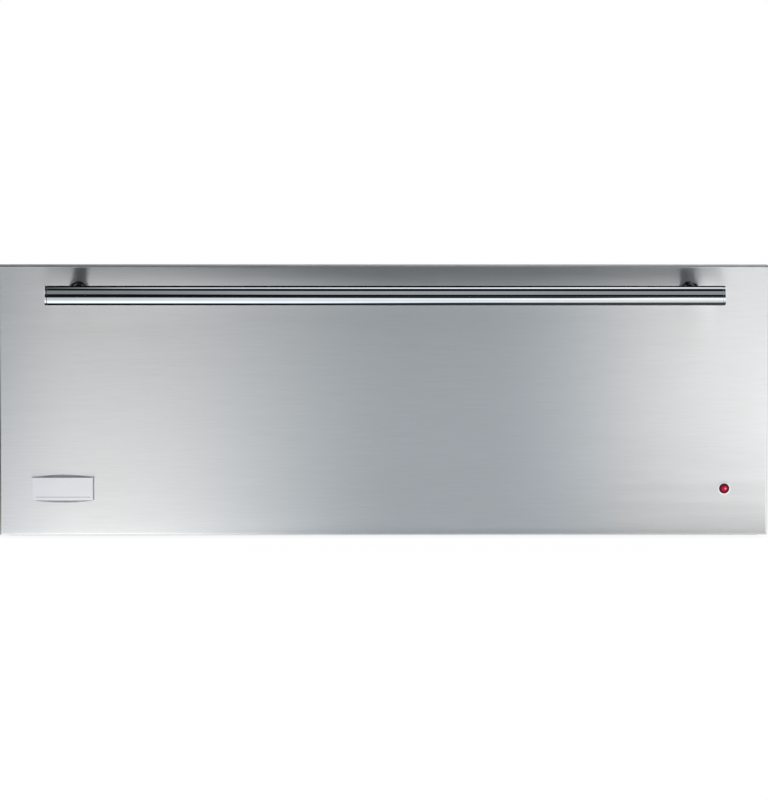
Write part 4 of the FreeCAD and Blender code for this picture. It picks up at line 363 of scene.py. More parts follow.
# %% [markdown]
# Hidden sheet work is coated, not stainless: zinc on the casing, aluminium on the hot
# liner, bright zinc on the ball slides and screws. The aluminium coat is dull and even; the
# zinc shows its spangle.

# %% Coated sheet and fasteners
GALVANISED = finish("galvanised sheet", (0.47, 0.49, 0.51), (0.62, 0.64, 0.66),
                    (0.34, 0.52), SPANGLE, {"Crystal": 8}, bump=0.015)
ALUMINISED = clouded("aluminised sheet", (0.53, 0.53, 0.52), (0.66, 0.66, 0.65),
                     (0.42, 0.56), 30, 0.9, bump=0.02)
SLIDE_ZINC = clouded("slide bright zinc", (0.60, 0.63, 0.66), (0.72, 0.74, 0.75),
                     (0.22, 0.36), 22, 0.7, bump=0.008)
SCREW_ZINC = clouded("screw zinc", (0.55, 0.56, 0.57), (0.70, 0.71, 0.71),
                     (0.22, 0.38), 3, 0.4, bump=0.006)
BALL_STEEL = clouded("ball steel", (0.68, 0.69, 0.70), (0.78, 0.785, 0.79),
                     (0.06, 0.14), 2, 0.3)
print("coated and ball finishes: 5")

# %% [markdown]
# The heater's sheath is a nickel steel that turns grey brown with heat. Its bushes are
# glazed ceramic. The bulb of the thermostat is copper, a little tarnished.

# %% Heater and thermostat finishes
SHEATH = clouded("element sheath", (0.10, 0.088, 0.078), (0.21, 0.19, 0.17),
                 (0.45, 0.62), 35, 0.8, bump=0.02, metallic=0.75)
CERAMIC = clouded("glazed ceramic", (0.80, 0.78, 0.73), (0.86, 0.85, 0.81),
                  (0.28, 0.42), 6, 0.5, bump=0.01, metallic=0.0, Coat_Weight=0.3)
COPPER = clouded("tarnished copper", (0.52, 0.24, 0.14), (0.83, 0.46, 0.31),
                 (0.22, 0.42), 9, 0.5, bump=0.008)
WADDING = finish("glass wadding", (0.60, 0.55, 0.36), (0.86, 0.83, 0.66),
                 (0.85, 0.98), FIBRES, {"Fibre": 1.1}, bump=0.6, metallic=0.0)
print("heater and wadding finishes: 4")

# %% [markdown]
# Plastics and rubbers are not metallic. What tells them apart is how glossy and how
# textured they are: the knob is satin, the thermostat's case and the gland are eroded, the
# silicone gasket is soft with a bloom, and the bumpers are dull.

# %% Plastics, rubbers and paints
def plastic(name, dark, light, roughness, cloud, pit, **settings):
    return clouded(name, dark, light, roughness, cloud, pit, metallic=0.0, **settings)


BLACK_PLASTIC = plastic("black moulded plastic", (0.018, 0.018, 0.019),
                        (0.035, 0.035, 0.037), (0.38, 0.52), 20, 0.35, bump=0.03)
KNOB_PLASTIC = plastic("knob plastic", (0.014, 0.014, 0.015), (0.026, 0.026, 0.028),
                       (0.26, 0.36), 12, 0.25, bump=0.012, Coat_Weight=0.15)
LEVER_PLASTIC = plastic("lever plastic", (0.04, 0.042, 0.045), (0.07, 0.072, 0.075),
                        (0.36, 0.5), 14, 0.3, bump=0.02)
SILICONE = plastic("silicone gasket", (0.14, 0.145, 0.15), (0.22, 0.225, 0.23),
                   (0.46, 0.68), 30, 0.6, bump=0.02)
RUBBER = plastic("bumper rubber", (0.022, 0.022, 0.022), (0.045, 0.044, 0.043),
                 (0.62, 0.82), 6, 0.5, bump=0.03)
INK = plastic("dial ink", (0.015, 0.015, 0.017), (0.03, 0.03, 0.033), (0.4, 0.5), 4, 0.2)
# Paint for the nameplate's engraved low line and for its right-end line of painted shadow.
LINE_AND_SHADOW_PAINT = plastic("engraving and shadow paint", (0.17, 0.18, 0.20), (0.23, 0.24, 0.26),
                     (0.4, 0.5), 4, 0.2)
POINTER_PAINT = plastic("pointer paint", (0.72, 0.72, 0.70), (0.80, 0.80, 0.78),
                        (0.42, 0.55), 3, 0.2)
print("plastics, rubbers and paints: 8")

# %% [markdown]
# ## Taking a smooth copy of a CAD piece
# CAD meshes are loose triangles. For a round or folded piece a copy is merged where its
# corners meet, and shaded smooth except at edges sharper than an angle. A grain map is then
# laid on it: u runs across the brushing and v along it, in metres, chosen by which way each
# face points, as a sheet is brushed before it is folded.

# %% Helpers for meshes
SHARP = math.radians(32)
WELD = 0.002 * MM


def shade(form, sharp=SHARP):
    """Smooth shading that breaks at sharp edges."""
    for face in form.faces:
        face.smooth = True
    for edge in form.edges:
        edge.smooth = len(edge.link_faces) == 2 and edge.calc_face_angle(0.0) < sharp


def lay_grain(form):
    """A UV map named grain, across and along the brushing."""
    grain = form.loops.layers.uv.new("grain")
    for face in form.faces:
        steep = [abs(c) for c in face.normal]
        for loop in face.loops:
            x, y, z = loop.vert.co
            if steep[0] > 0.8:
                loop[grain].uv = (z, y)
            elif steep[2] > steep[1]:
                loop[grain].uv = (y, x)
            else:
                loop[grain].uv = (z, x)


def piece_from(name, form, material):
    mesh = bpy.data.meshes.new(name)
    form.to_mesh(mesh)
    form.free()
    mesh.materials.append(material)
    piece = bpy.data.objects.new(name, mesh)
    bpy.context.collection.objects.link(piece)
    return piece


def settle(piece, body, slot, *nodes):
    """Puts a piece on its body, in place of CAD nodes; slot is not used."""
    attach(piece, body)
    if nodes:
        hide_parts(*nodes)
    return piece


def smooth_piece(name, form, material, body, slot, *nodes, sharp=SHARP):
    """Shades a form, makes a piece of it and settles it."""
    shade(form, sharp)
    return settle(piece_from(name, form, material), body, slot, *nodes)


def smooth_copy(node, name, material, body, slot, grain=False):
    """A merged, smooth copy that takes its CAD node's place."""
    form = bmesh.new()
    form.from_mesh(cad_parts[node].data)
    bmesh.ops.remove_doubles(form, verts=form.verts, dist=WELD)
    if grain:
        lay_grain(form)
    return smooth_piece(name, form, material, body, slot, node)


def eased_bars(name, bars, ease, segments, material, body, slot):
    """Small bars with eased edges, from (centre, size) pairs in mm."""
    form = bmesh.new()
    for centre, size in bars:
        bmesh.ops.create_cube(form, size=1.0, matrix=Matrix.Translation(
            Vector(centre) * MM) @ Matrix.Diagonal((*(c * MM for c in size), 1.0)))
    bmesh.ops.bevel(form, geom=list(form.edges), offset=ease * MM, segments=segments,
                    affect="EDGES")
    return settle(piece_from(name, form, material), body, slot)


print("mesh helpers ready")

# %% [markdown]
# ## The front panel
# The real front is one sheet of 1.2 mm steel folded back on four sides. Its shape is right
# in CAD, so it is copied, merged and given its grain map. The long soft reflections across
# it come from the grain, not from paint.

# %% Front panel and fascia
front_panel = smooth_copy("front_panel", "brushed_front", BRUSHED_STEEL, "drawer",
                          "stainless_brushed", grain=True)
fascia = smooth_copy("control_fascia", "brushed_fascia", BRUSHED_STEEL, "drawer",
                     "stainless_brushed", grain=True)
print("front:", len(front_panel.data.polygons), "faces; fascia:", len(fascia.data.polygons))

# %% [markdown]
# ## Turned pieces
# The handle's tube, its caps, the lamp's ring and lens are all turned, so each is a profile
# spun about an axis. The helper walks round the axis and joins ring to ring. A profile point
# on the axis closes to a single pole, and small steps at a corner make its eased edge.

# %% A lathe
UP, DOWN, LEFT, RIGHT = (0, 0, 1), (0, 0, -1), (-1, 0, 0), (1, 0, 0)
BACK, OUT = (0, 1, 0), (0, -1, 0)


def arc(centre, radius, start, end, steps):
    """Profile points round a corner; angles in degrees."""
    points = []
    for step in range(steps + 1):
        turn = math.radians(start + (end - start) * step / steps)
        points.append((centre[0] + radius * math.cos(turn), centre[1] + radius * math.sin(turn)))
    return points


def turned(form, profile, base, axis, sides, closed=False):
    """Spins (radius, height) points, in mm, about an axis from base, in mm."""
    axis = Vector(axis)
    across = axis.orthogonal().normalized()
    aside = axis.cross(across)
    turns = [2 * math.pi * side / sides for side in range(sides)]
    rings = []
    for radius, height in profile:
        hub = Vector(base) + axis * height
        if radius < 1e-6:
            rings.append([form.verts.new(hub * MM)])
            continue
        rings.append([form.verts.new((hub + (across * math.cos(turn) + aside * math.sin(turn))
                                      * radius) * MM) for turn in turns])
    for low, high in zip(rings, rings[1:] + rings[:1] if closed else rings[1:]):
        for side in range(sides):
            after = (side + 1) % sides
            corners = [low[side % len(low)], low[after % len(low)],
                       high[after % len(high)], high[side % len(high)]]
            corners = [c for i, c in enumerate(corners) if c not in corners[:i]]
            if len(corners) > 2:
                form.faces.new(corners)
    bmesh.ops.recalc_face_normals(form, faces=form.faces)


print("lathe ready")

# %% [markdown]
# ## The handle
# A polished tube on two posts, with a cap in each end. The posts are painted near black, a
# painted dark reflection. Polished steel shows whatever is round it, so its look is all in
# its roundness: many sides, smooth shading, and a small eased edge on the caps that catches
# the light. The left cap stands off by a hairline, and the floor of that joint is painted
# shade, a band of the posts' dark steel.

# %% Tube, caps and posts
BAR_Y, BAR_Z, BAR_R, BAR_WALL = -345.0, 243.8, 9.5, 1.5
BAR_HALF, CAP, BAR_SIDES, BAR_STEPS = 327.8, 2.4, 144, 24
FRONT_Y, POST_X, POST_R, FOOT_R, FOOT = -285.0, 299.7, 7.2, 10.0, 4.0
ON_FRONT = ("drawer", "stainless_polished")


def handle_tube():
    form = bmesh.new()
    inner = BAR_R - BAR_WALL
    profile = [(inner, -BAR_HALF), (BAR_R - 0.3, -BAR_HALF), (BAR_R, -BAR_HALF + 0.2)]
    profile += [(BAR_R, -BAR_HALF + 2 * BAR_HALF * step / BAR_STEPS)
                for step in range(1, BAR_STEPS)]
    profile += [(BAR_R, BAR_HALF - 0.2), (BAR_R - 0.3, BAR_HALF), (inner, BAR_HALF)]
    turned(form, profile, (0, BAR_Y, BAR_Z), RIGHT, BAR_SIDES, closed=True)
    smooth_piece("handle_tube", form, POLISHED_STEEL, *ON_FRONT, "handle_bar")


def handle_caps():
    """Two plugged caps; the left one's hairline joint to the tube is lined with painted shade."""
    form = bmesh.new()
    for side, joint in ((-1, 0.42), (1, 0.06)):
        plug = BAR_R - BAR_WALL - 0.1
        profile = [(0, -9), (plug - 1, -9), (plug, -8), (plug, 0.04), (BAR_R - 0.3, 0.04),
                   (BAR_R - 0.3, joint), (BAR_R - 0.1, joint)]
        profile += arc((BAR_R - 0.6, CAP - 0.5), 0.5, 0, 90, 8) + [(0, CAP)]
        turned(form, profile, (side * BAR_HALF, BAR_Y, BAR_Z), (side, 0, 0), BAR_SIDES)
    # Painted shade: the floor of the left cap's joint takes the dark steel.
    for face in form.faces:
        centre = face.calc_center_median()
        deep = (centre / MM - Vector((0, BAR_Y, BAR_Z))).yz.length
        out = abs(centre.x) / MM - BAR_HALF
        if 0.1 < out < 0.4 and abs(deep - BAR_R + 0.3) < 0.05:
            face.material_index = 1
    caps = smooth_piece("handle_cap_pair", form, POLISHED_STEEL, *ON_FRONT, "handle_end_caps")
    caps.data.materials.append(DARK_REFLECTION_AND_SHADE_STEEL)


def handle_posts():
    """Two posts with round feet; each post's end is coped to fit the tube."""
    form = bmesh.new()
    reach, cope = FRONT_Y - BAR_Y, BAR_R - 0.3
    for side in (-1, 1):
        profile = [(0, 0), (FOOT_R, 0), (FOOT_R, FOOT - 0.25), (FOOT_R - 0.25, FOOT),
                   (POST_R + 0.4, FOOT), (POST_R, FOOT + 0.4), (POST_R, reach - BAR_R - 1),
                   (POST_R, reach), (0, reach)]
        turned(form, profile, (side * POST_X, FRONT_Y, BAR_Z), OUT, 72)
    for vert in form.verts:
        if abs(vert.co.y - BAR_Y * MM) < 0.1 * MM:
            rise = vert.co.z / MM - BAR_Z
            vert.co.y = (BAR_Y + math.sqrt(cope ** 2 - rise ** 2)) * MM
    # The posts take the near-black steel: a painted dark reflection.
    smooth_piece("handle_post_pair", form, DARK_REFLECTION_AND_SHADE_STEEL, *ON_FRONT, "handle_posts")


handle_tube()
handle_caps()
handle_posts()
print("handle: a tube of", BAR_SIDES, "sides, two caps, two posts")

# %% [markdown]
# ## The pilot lamp
# A red jewel in a bright ring. Real jewels are moulded acrylic over a small reflector. The
# colour follows the distance from its axis: crimson in the middle, darkening to near black at
# the rim as painted shade, with one pale spot right of the middle as a painted highlight. A
# clear coat adds a faint gloss of its own.

# %% Lamp ring and jewel
LAMP_X, MARK_Z = 335.4, 49.0
LENS_R, LENS_DOME, RING_R, RING_RISE, LAMP_DEPTH = 5.0, 2.2, 6.3, 0.9, 3.2


def jewel_material():
    material, tree = new_material("red jewel")
    place = object_place(tree)
    off = place.vectors("SUBTRACT", {1: (LAMP_X * MM, 0, MARK_Z * MM)})
    flat = off.vectors("MULTIPLY", {1: (1, 0, 1)})
    reach = flat.vectors("LENGTH", output="Value")
    # Painted shade: the crimson darkens towards the rim, with a little random noise in it.
    rim = reach.ease(1.4 * MM, 4.8 * MM) + noise(place, 900.0) * 0.12
    colour = mix_colours(tree, rim, (0.50, 0.003, 0.03, 1), (0.03, 0.0, 0.006, 1))
    # Painted highlight: a pale spot right of the middle stands for a reflection.
    aside = flat.vectors("DISTANCE", {1: (1.2 * MM, 0, 0.1 * MM)}, "Value")
    painted_highlight = aside.ease(0.3 * MM, 1.5 * MM, 1.0, 0.0)
    shader = get(tree, "ShaderNodeBsdfPrincipled", {
        "Base Color": mix_colours(tree, painted_highlight, colour, (0.95, 0.26, 0.36, 1)),
        "Roughness": 0.3, "Coat Weight": 0.12, "Coat Roughness": 0.04,
        "Specular IOR Level": 0.08})
    add(tree, "ShaderNodeOutputMaterial", {0: shader})
    return material


def lamp_jewel():
    form = bmesh.new()
    body, steps = 1.2 + 2 + RING_RISE, 14
    profile = [(0, 0), (LENS_R, 0), (LENS_R, body - 0.4)]
    for step in range(1, steps):
        turn = math.pi / 2 * step / steps
        profile.append((LENS_R * math.cos(turn), body - 0.4 + (LENS_DOME + 0.4) * math.sin(turn)))
    turned(form, profile + [(0, body + LENS_DOME)], (LAMP_X, FRONT_Y + LAMP_DEPTH, MARK_Z),
           OUT, 64)
    smooth_piece("lamp_jewel", form, jewel_material(), "drawer", "lamp_red", "lamp_lens")


def lamp_ring():
    form = bmesh.new()
    sleeve, bore = LENS_R + 0.55, LENS_R + 0.05
    profile = [(bore, -LAMP_DEPTH), (sleeve, -LAMP_DEPTH), (sleeve, 0), (RING_R, 0),
               (RING_R, 0.3)]
    profile += arc((RING_R - 0.55, 0.35), 0.55, 0, 90, 6) + [(bore + 0.1, RING_RISE), (bore, 0.8)]
    turned(form, profile, (LAMP_X, FRONT_Y, MARK_Z), OUT, 72, closed=True)
    smooth_piece("lamp_ring", form, RING_STEEL, *ON_FRONT, "lamp_bezel")


lamp_jewel()
lamp_ring()
print("pilot lamp: jewel and ring")

# %% [markdown]
# ## The nameplate
# A small plate with a straight face, one engraved line low on it, and at its right end a
# dark line of painted shadow along that edge. It stays blank otherwise. Its foot bows out
# above and below, and a sloping skirt joins the foot to the face. So it is built from rings
# of one rule, an inset and a bow: as they rise, the bow goes out of them. The skirt below the
# face is painted shade: it takes a darker copy of the plate's steel.

# %% Nameplate
PLATE_X, PLATE_W, PLATE_H, PLATE_BOW, PLATE_THICK = -315.5, 61.5, 22.6, 2.3, 1.8
# Painted shade: a darker copy of the plate's satin steel, for the skirt below the face.
SHADED_SKIRT_STEEL = clouded("stainless shaded", (0.15, 0.153, 0.16), (0.18, 0.183, 0.19),
                      (0.34, 0.40), 8, 0.5)


def plate_outline(inset, bow, steps=24):
    """Points round the plate, in mm, from its lower left, at an inset from the edge."""
    half, tall = PLATE_W / 2 - inset, PLATE_H / 2 - inset
    lower = []
    for step in range(steps + 1):
        along = -1 + 2 * step / steps
        lower.append((along * half, -(tall + bow * (1 - along * along))))
    return lower + [(x, -z) for x, z in reversed(lower)]


def plate_piece():
    form = bmesh.new()
    levels = [(0.0, 0.0, PLATE_BOW), (0.0, 0.35, PLATE_BOW), (0.06, 0.5, PLATE_BOW * 0.97),
              (0.1, 1.62, 0.12), (0.18, 1.75, 0.03), (0.32, PLATE_THICK, 0.0)]
    rings = [[form.verts.new(((PLATE_X + x) * MM, (FRONT_Y - rise) * MM, (MARK_Z + z) * MM))
              for x, z in plate_outline(inset, bow)] for inset, rise, bow in levels]
    for low, high in zip(rings, rings[1:]):
        for index in range(len(low)):
            after = (index + 1) % len(low)
            form.faces.new((low[index], low[after], high[after], high[index]))
    # Faces below the plate's lower edge take the painted-shade steel.
    for face in form.faces:
        face.material_index = int(face.calc_center_median().z < (MARK_Z - PLATE_H / 2) * MM)
    for ring in (rings[0], rings[-1]):
        for index in range(len(ring) // 2 - 1):
            form.faces.new((ring[index], ring[index + 1], ring[-2 - index], ring[-1 - index]))
    bmesh.ops.recalc_face_normals(form, faces=form.faces)
    lay_grain(form)
    plate = smooth_piece("blank_nameplate", form, PLATE_STEEL, *ON_FRONT, "nameplate",
                         sharp=math.radians(10))
    plate.data.materials.append(SHADED_SKIRT_STEEL)


PLATE_FACE = FRONT_Y - PLATE_THICK
LINES = [((PLATE_X, PLATE_FACE, MARK_Z - PLATE_H * 0.36), (PLATE_W - 8, 0.03, 0.5)),
         # The right-end line is painted shadow: a dark strip standing for the shade at the
         # plate's edge.
         ((PLATE_X + PLATE_W / 2 - 1.05, PLATE_FACE, MARK_Z), (1.4, 0.03, PLATE_H - 0.7))]
plate_piece()
eased_bars("nameplate_lines", LINES, 0.01, 1, LINE_AND_SHADOW_PAINT, *ON_FRONT)
print("nameplate:", PLATE_W, "by", PLATE_H, "mm, blank")

# %% [markdown]
# ## Growing what repeats with Geometry Nodes
# Screws, rivets, balls and wires repeat, so each is described once, in a tree with named
# inputs for its sizes, and placed on points. A seed object carries the points. Its modifier
# gets its values by each socket's identifier, the result is turned into a plain mesh, and
# the seed is deleted, so nothing live is left behind.

# %% Helpers for Geometry Nodes
GEOMETRY, FINISH_SOCKET = "NodeSocketGeometry", "NodeSocketMaterial"


def geometry_tree(name, sizes):
    return new_group("GeometryNodeTree", name, [("Geometry", GEOMETRY, None)] + sizes
                     + [("Finish", FINISH_SOCKET, None)], [("Geometry", GEOMETRY)])


def real(geometry):
    return get(geometry.tree, "GeometryNodeRealizeInstances", {0: geometry})


def close_tree(tree, give, geometry):
    """Every tree ends the same way: real geometry with its material."""
    done = get(tree, "GeometryNodeSetMaterial", {
        "Geometry": real(geometry), "Material": give["Finish"]})
    add(tree, "NodeGroupOutput", {0: done})
    print("tree:", tree.name)
    return tree


def moved(geometry, x=0.0, y=0.0, z=0.0):
    return get(geometry.tree, "GeometryNodeTransform", {
        "Geometry": geometry, "Translation": xyz(geometry.tree, x, y, z)})


def on_points(points, instance, **more):
    return get(points.tree, "GeometryNodeInstanceOnPoints", {
        "Points": points, "Instance": instance, **more})


def point_rows(tree, give, offset):
    """A row of points from each point of the seed."""
    row = get(tree, "GeometryNodeMeshLine", {"Count": give["Count"], "Offset": offset},
              mode="OFFSET")
    return real(on_points(give["Geometry"], row))


def grow(name, tree, points, material, body, slot, *nodes, edges=(), facing=None, **values):
    """Grows a tree on bare points in mm; facing gives each a direction to grow in."""
    seed = bpy.data.meshes.new(name)
    seed.from_pydata([Vector(p) * MM for p in points], list(edges), [])
    if facing:
        layer = seed.attributes.new("facing", "FLOAT_VECTOR", "POINT")
        for index, way in enumerate(facing):
            layer.data[index].vector = way
    carrier = bpy.data.objects.new(name + "_seed", seed)
    bpy.context.collection.objects.link(carrier)
    modifier = carrier.modifiers.new("grow", "NODES")
    modifier.node_group = tree
    wanted = {title.replace("_", " "): value for title, value in values.items()}
    wanted["Finish"] = material
    for item in tree.interface.items_tree:
        if item.item_type == "SOCKET" and item.in_out == "INPUT" and item.name in wanted:
            modifier[item.identifier] = wanted.pop(item.name)
    assert not wanted, wanted
    bpy.context.view_layer.update()
    graph = bpy.context.evaluated_depsgraph_get()
    mesh = bpy.data.meshes.new_from_object(carrier.evaluated_get(graph), depsgraph=graph)
    bpy.data.objects.remove(carrier)
    form = bmesh.new()
    form.from_mesh(mesh)
    return smooth_piece(name, form, material, body, slot, *nodes)


print("growing helpers ready")

# %% [markdown]
# ## Screws and rivets
# One tree makes every head. It starts from a cylinder with several rings up its side and
# pulls the upper rings in by a rule: the scale of a ring is the root of 1 - k t^p, where t
# runs from 0 at the seat to 1 at the top. A high power p only eases the top edge, as on a
# hex head; a power of 2 makes a dome. A slot or a cross is then cut into it, and a washer
# and a shank join it.

# %% The tree for heads
NOTHING = 1e-6


def switch(tree, share, **ways):
    return get(tree, "GeometryNodeSwitch", {"Switch": share, **ways}, input_type="GEOMETRY")


def is_there(size):
    return get(size.tree, "FunctionNodeCompare", {0: size, 1: NOTHING},
               operation="GREATER_THAN")


def heads_tree():
    sizes = [("Corners", COUNT, 6), ("Radius", VALUE, 3.6 * MM), ("Height", VALUE, 2.4 * MM),
             ("Round", VALUE, 0.3), ("Power", VALUE, 12.0),
             ("Washer radius", VALUE, 4.6 * MM), ("Washer height", VALUE, 0.8 * MM),
             ("Shank radius", VALUE, 2.0 * MM), ("Shank length", VALUE, 9 * MM),
             ("Slot length", VALUE, 4 * MM), ("Slot width", VALUE, 0.9 * MM),
             ("Slot depth", VALUE, 0.9 * MM), ("Crossed", "NodeSocketBool", False)]
    tree, give = geometry_tree("screw and rivet heads", sizes)
    blank = moved(get(tree, "GeometryNodeMeshCylinder", {
        "Vertices": give["Corners"], "Side Segments": 8, "Radius": give["Radius"],
        "Depth": give["Height"]}), z=give["Height"] * 0.5)
    x, y, z = outputs_of(tree, "ShaderNodeSeparateXYZ", {
        0: get(tree, "GeometryNodeInputPosition")}).values()
    level = (z / give["Height"]).maths("POWER", give["Power"])
    pull = (1.0 - give["Round"] * level).maths("SQRT")
    head = get(tree, "GeometryNodeSetPosition", {
        "Geometry": blank, "Position": xyz(tree, x * pull, y * pull, z)})
    long, wide, tall = give["Slot length"], give["Slot width"], give["Slot depth"] * 2.0
    bars = [moved(get(tree, "GeometryNodeMeshCube", {"Size": xyz(tree, *sides, tall)}),
                  z=give["Height"]) for sides in ((long, wide), (wide, long))]
    both = get(tree, "GeometryNodeMeshBoolean", {"Mesh 2": bars}, operation="UNION")
    slot = switch(tree, give["Crossed"], **{"False": bars[0], "True": both})
    cut = get(tree, "GeometryNodeMeshBoolean", {"Mesh 1": head, "Mesh 2": slot},
              operation="DIFFERENCE")
    head = switch(tree, is_there(give["Slot depth"]), **{"False": head, "True": cut})
    parts = [moved(head, z=give["Washer height"])]
    for radius, depth, sign in (("Washer radius", "Washer height", 0.5),
                                ("Shank radius", "Shank length", -0.5)):
        drum = moved(get(tree, "GeometryNodeMeshCylinder", {
            "Vertices": 32, "Radius": give[radius], "Depth": give[depth]}),
            z=give[depth] * sign)
        parts.append(switch(tree, is_there(give[depth]), **{"True": drum}))
    facing = get(tree, "GeometryNodeInputNamedAttribute", {"Name": "facing"},
                 data_type="FLOAT_VECTOR")
    turn = get(tree, "FunctionNodeAlignRotationToVector", {"Vector": facing}, axis="Z")
    joined = get(tree, "GeometryNodeJoinGeometry", {0: parts})
    return close_tree(tree, give, on_points(give["Geometry"], joined, Rotation=turn))


HEADS = heads_tree()

# %% [markdown]
# The casing is held by slotted hex screws with a washer under the head, the fascia by
# crossed pan heads. Each place below is the seat of a head, with the way it faces.

# %% Grow the screws
HEX = dict(Corners=6, Radius=3.6 * MM, Height=2.4 * MM, Round=0.32, Power=12.0,
           Washer_radius=4.6 * MM, Washer_height=0.8 * MM, Slot_length=5.2 * MM,
           Slot_width=0.95 * MM, Slot_depth=0.9 * MM, Crossed=False, Shank_radius=2.0 * MM)
PAN = dict(Corners=32, Radius=3.4 * MM, Height=2.0 * MM, Round=0.62, Power=3.0,
           Washer_radius=1.0 * MM, Washer_height=0.0, Slot_length=3.6 * MM,
           Slot_width=0.8 * MM, Slot_depth=0.9 * MM, Crossed=True, Shank_radius=2.0 * MM)
RIVET = dict(Corners=32, Radius=4.5 * MM, Height=1.8 * MM, Round=0.64, Power=2.0,
             Washer_radius=1.0 * MM, Washer_height=0.0, Slot_depth=0.0, Crossed=False,
             Slot_length=1.0 * MM, Slot_width=1.0 * MM, Shank_radius=2.4 * MM)
FRONT_SEAT, FASCIA_TOP, LOW_ROW, HIGH_ROW = -261.8, 175.2, 70.0, 136.0


def both_sides(points):
    return points + [(-x, y, z) for x, y, z in points]


def outward(points):
    return [RIGHT if x > 0 else LEFT for x, _, _ in points]


def inward(points):
    return [LEFT if x > 0 else RIGHT for x, _, _ in points]


def heads(name, sort, places, facing, bite, body, slot, node, material=SCREW_ZINC):
    """Heads at places in mm; bite is how far their shanks reach into the sheet."""
    return grow(name, HEADS, places, material, body, slot, node, facing=facing,
                Shank_length=bite * MM, **sort)


cover = both_sides([(360.5, y, 216.0) for y in (-187.2, 0.0, 187.2)]
                   + [(359.5, 253.5, z) for z in (44.8, 112.0, 179.2)])
rear = [(x, 261.0, LOW_ROW) for x in (197.5, 302.5)]
heads("casing_screws", HEX, cover + rear, outward(cover) + [BACK] * len(rear), 3.0,
      "chassis", "screw_steel", "case_screws")
front = both_sides([(309.58, -261.5, LOW_ROW), (309.58, -261.5, 106.0),
                    (211.59, FRONT_SEAT, HIGH_ROW)]) + [(0.0, FRONT_SEAT, HIGH_ROW)]
heads("front_hex_screws", HEX, front, [BACK] * len(front), 3.0,
      "drawer", "screw_steel", "front_screws")
shelf = [(x, y, FASCIA_TOP) for x in (-298.58, 0.0, 298.58) for y in (-257.0, -215.0)]
heads("fascia_pan_screws", PAN, shelf, [UP] * len(shelf), 3.0,
      "drawer", "screw_steel", "fascia_screws", material=WIRE_STEEL)
print("screws:", len(cover + rear), "hex on the casing,", len(front),
      "hex inside the front,", len(shelf), "pan heads on the fascia")

# %% [markdown]
# Rivets are the same tree with a dome and no slot. Their shanks run through both sheets.
# The handle's two screws are socket heads, too few and too deep in the front to be worth a
# tree, so they are smooth copies.

# %% Grow the rivets
SLIDE_Z = 118.0
slide_rows = both_sides([(338.5, y, SLIDE_Z) for y in (-212.9, -10.8, 191.3)])
heads("slide_dome_rivets", RIVET, slide_rows, outward(slide_rows), 2.0,
      "chassis", "slide_steel", "slide_rivets")
rail_rows = both_sides([(320.58, y, SLIDE_Z) for y in (-189.4, -104.8, 186.6)])
heads("rail_dome_rivets", RIVET, rail_rows, inward(rail_rows), 2.7,
      "drawer", "slide_steel", "rail_rivets")
vent_dome = dict(RIVET, Radius=4.0 * MM, Height=1.2 * MM, Shank_radius=2.0 * MM)
vent_pair = [(x, -236.0, 172.6) for x in (-274.73, -101.73)]
heads("vent_dome_rivets", vent_dome, vent_pair, [DOWN] * len(vent_pair), 2.6,
      "drawer", "slide_steel", "vent_rivets")
smooth_copy("handle_screws", "handle_socket_screws", SCREW_ZINC, "drawer", "screw_steel")
print("rivets:", len(slide_rows), "in the slides,", len(rail_rows), "in the rails,",
      len(vent_pair), "at the vent")

# %% [markdown]
# ## Ball rows
# Each slide runs on rows of five steel balls, held apart by a cage. The tree lays a short
# line of points at each start and puts a ball on every point. The seed's points are the
# first ball of each row.

# %% The tree for rows of balls, grown twice
def rows_tree():
    tree, give = geometry_tree("rows of balls", [
        ("Count", COUNT, 5), ("Pitch", VALUE, 26 * MM), ("Radius", VALUE, 2 * MM)])
    points = point_rows(tree, give, xyz(tree, y=give["Pitch"]))
    ball = get(tree, "GeometryNodeMeshUVSphere", {
        "Segments": 24, "Rings": 16, "Radius": give["Radius"]})
    return close_tree(tree, give, on_points(points, ball))


ROWS = rows_tree()
BALLS, FIRST_BALL = 5, -62.8
for name, x, rise, body, node in (
        ("outer_ball_rows", 331.13, 21.65, "outer_cages", "balls_outer"),
        ("inner_ball_rows", 327.13, 16.57, "inner_cages", "balls_inner")):
    starts = both_sides([(x, FIRST_BALL, SLIDE_Z + rise), (x, FIRST_BALL, SLIDE_Z - rise)])
    grow(name, ROWS, starts, BALL_STEEL, body, "ball_steel", node, Count=BALLS,
         Pitch=26 * MM, Radius=2 * MM)
    print(name, ":", BALLS * len(starts), "balls")

# %% [markdown]
# ## Rods bent along a path
# The heater is one rod bent to and fro, and the rack's frame is one rod bent into a loop.
# The seed carries only the corners. The tree turns its edges into a curve, rounds each
# corner with Fillet Curve, and sweeps a circle along it.

# %% The tree for bent rods
def rod_tree():
    tree, give = geometry_tree("bent rod", [
        ("Radius", VALUE, 4 * MM), ("Bend", VALUE, 22 * MM), ("Bend steps", COUNT, 12),
        ("Sides", COUNT, 24)])
    path = get(tree, "GeometryNodeFilletCurve", {
        "Curve": get(tree, "GeometryNodeMeshToCurve", {0: give["Geometry"]}),
        "Count": give["Bend steps"], "Radius": give["Bend"], "Limit Radius": False},
        mode="POLY")
    ring = get(tree, "GeometryNodeCurvePrimitiveCircle", {
        "Resolution": give["Sides"], "Radius": give["Radius"]})
    rod = get(tree, "GeometryNodeCurveToMesh", {
        "Curve": path, "Profile Curve": ring, "Fill Caps": True})
    return close_tree(tree, give, rod)


RODS = rod_tree()

# %% [markdown]
# The heater's sheath runs in ten lengths under the pan, in one plane, and ends in two
# ceramic bushes behind the liner, each with a flat blade for its wire.

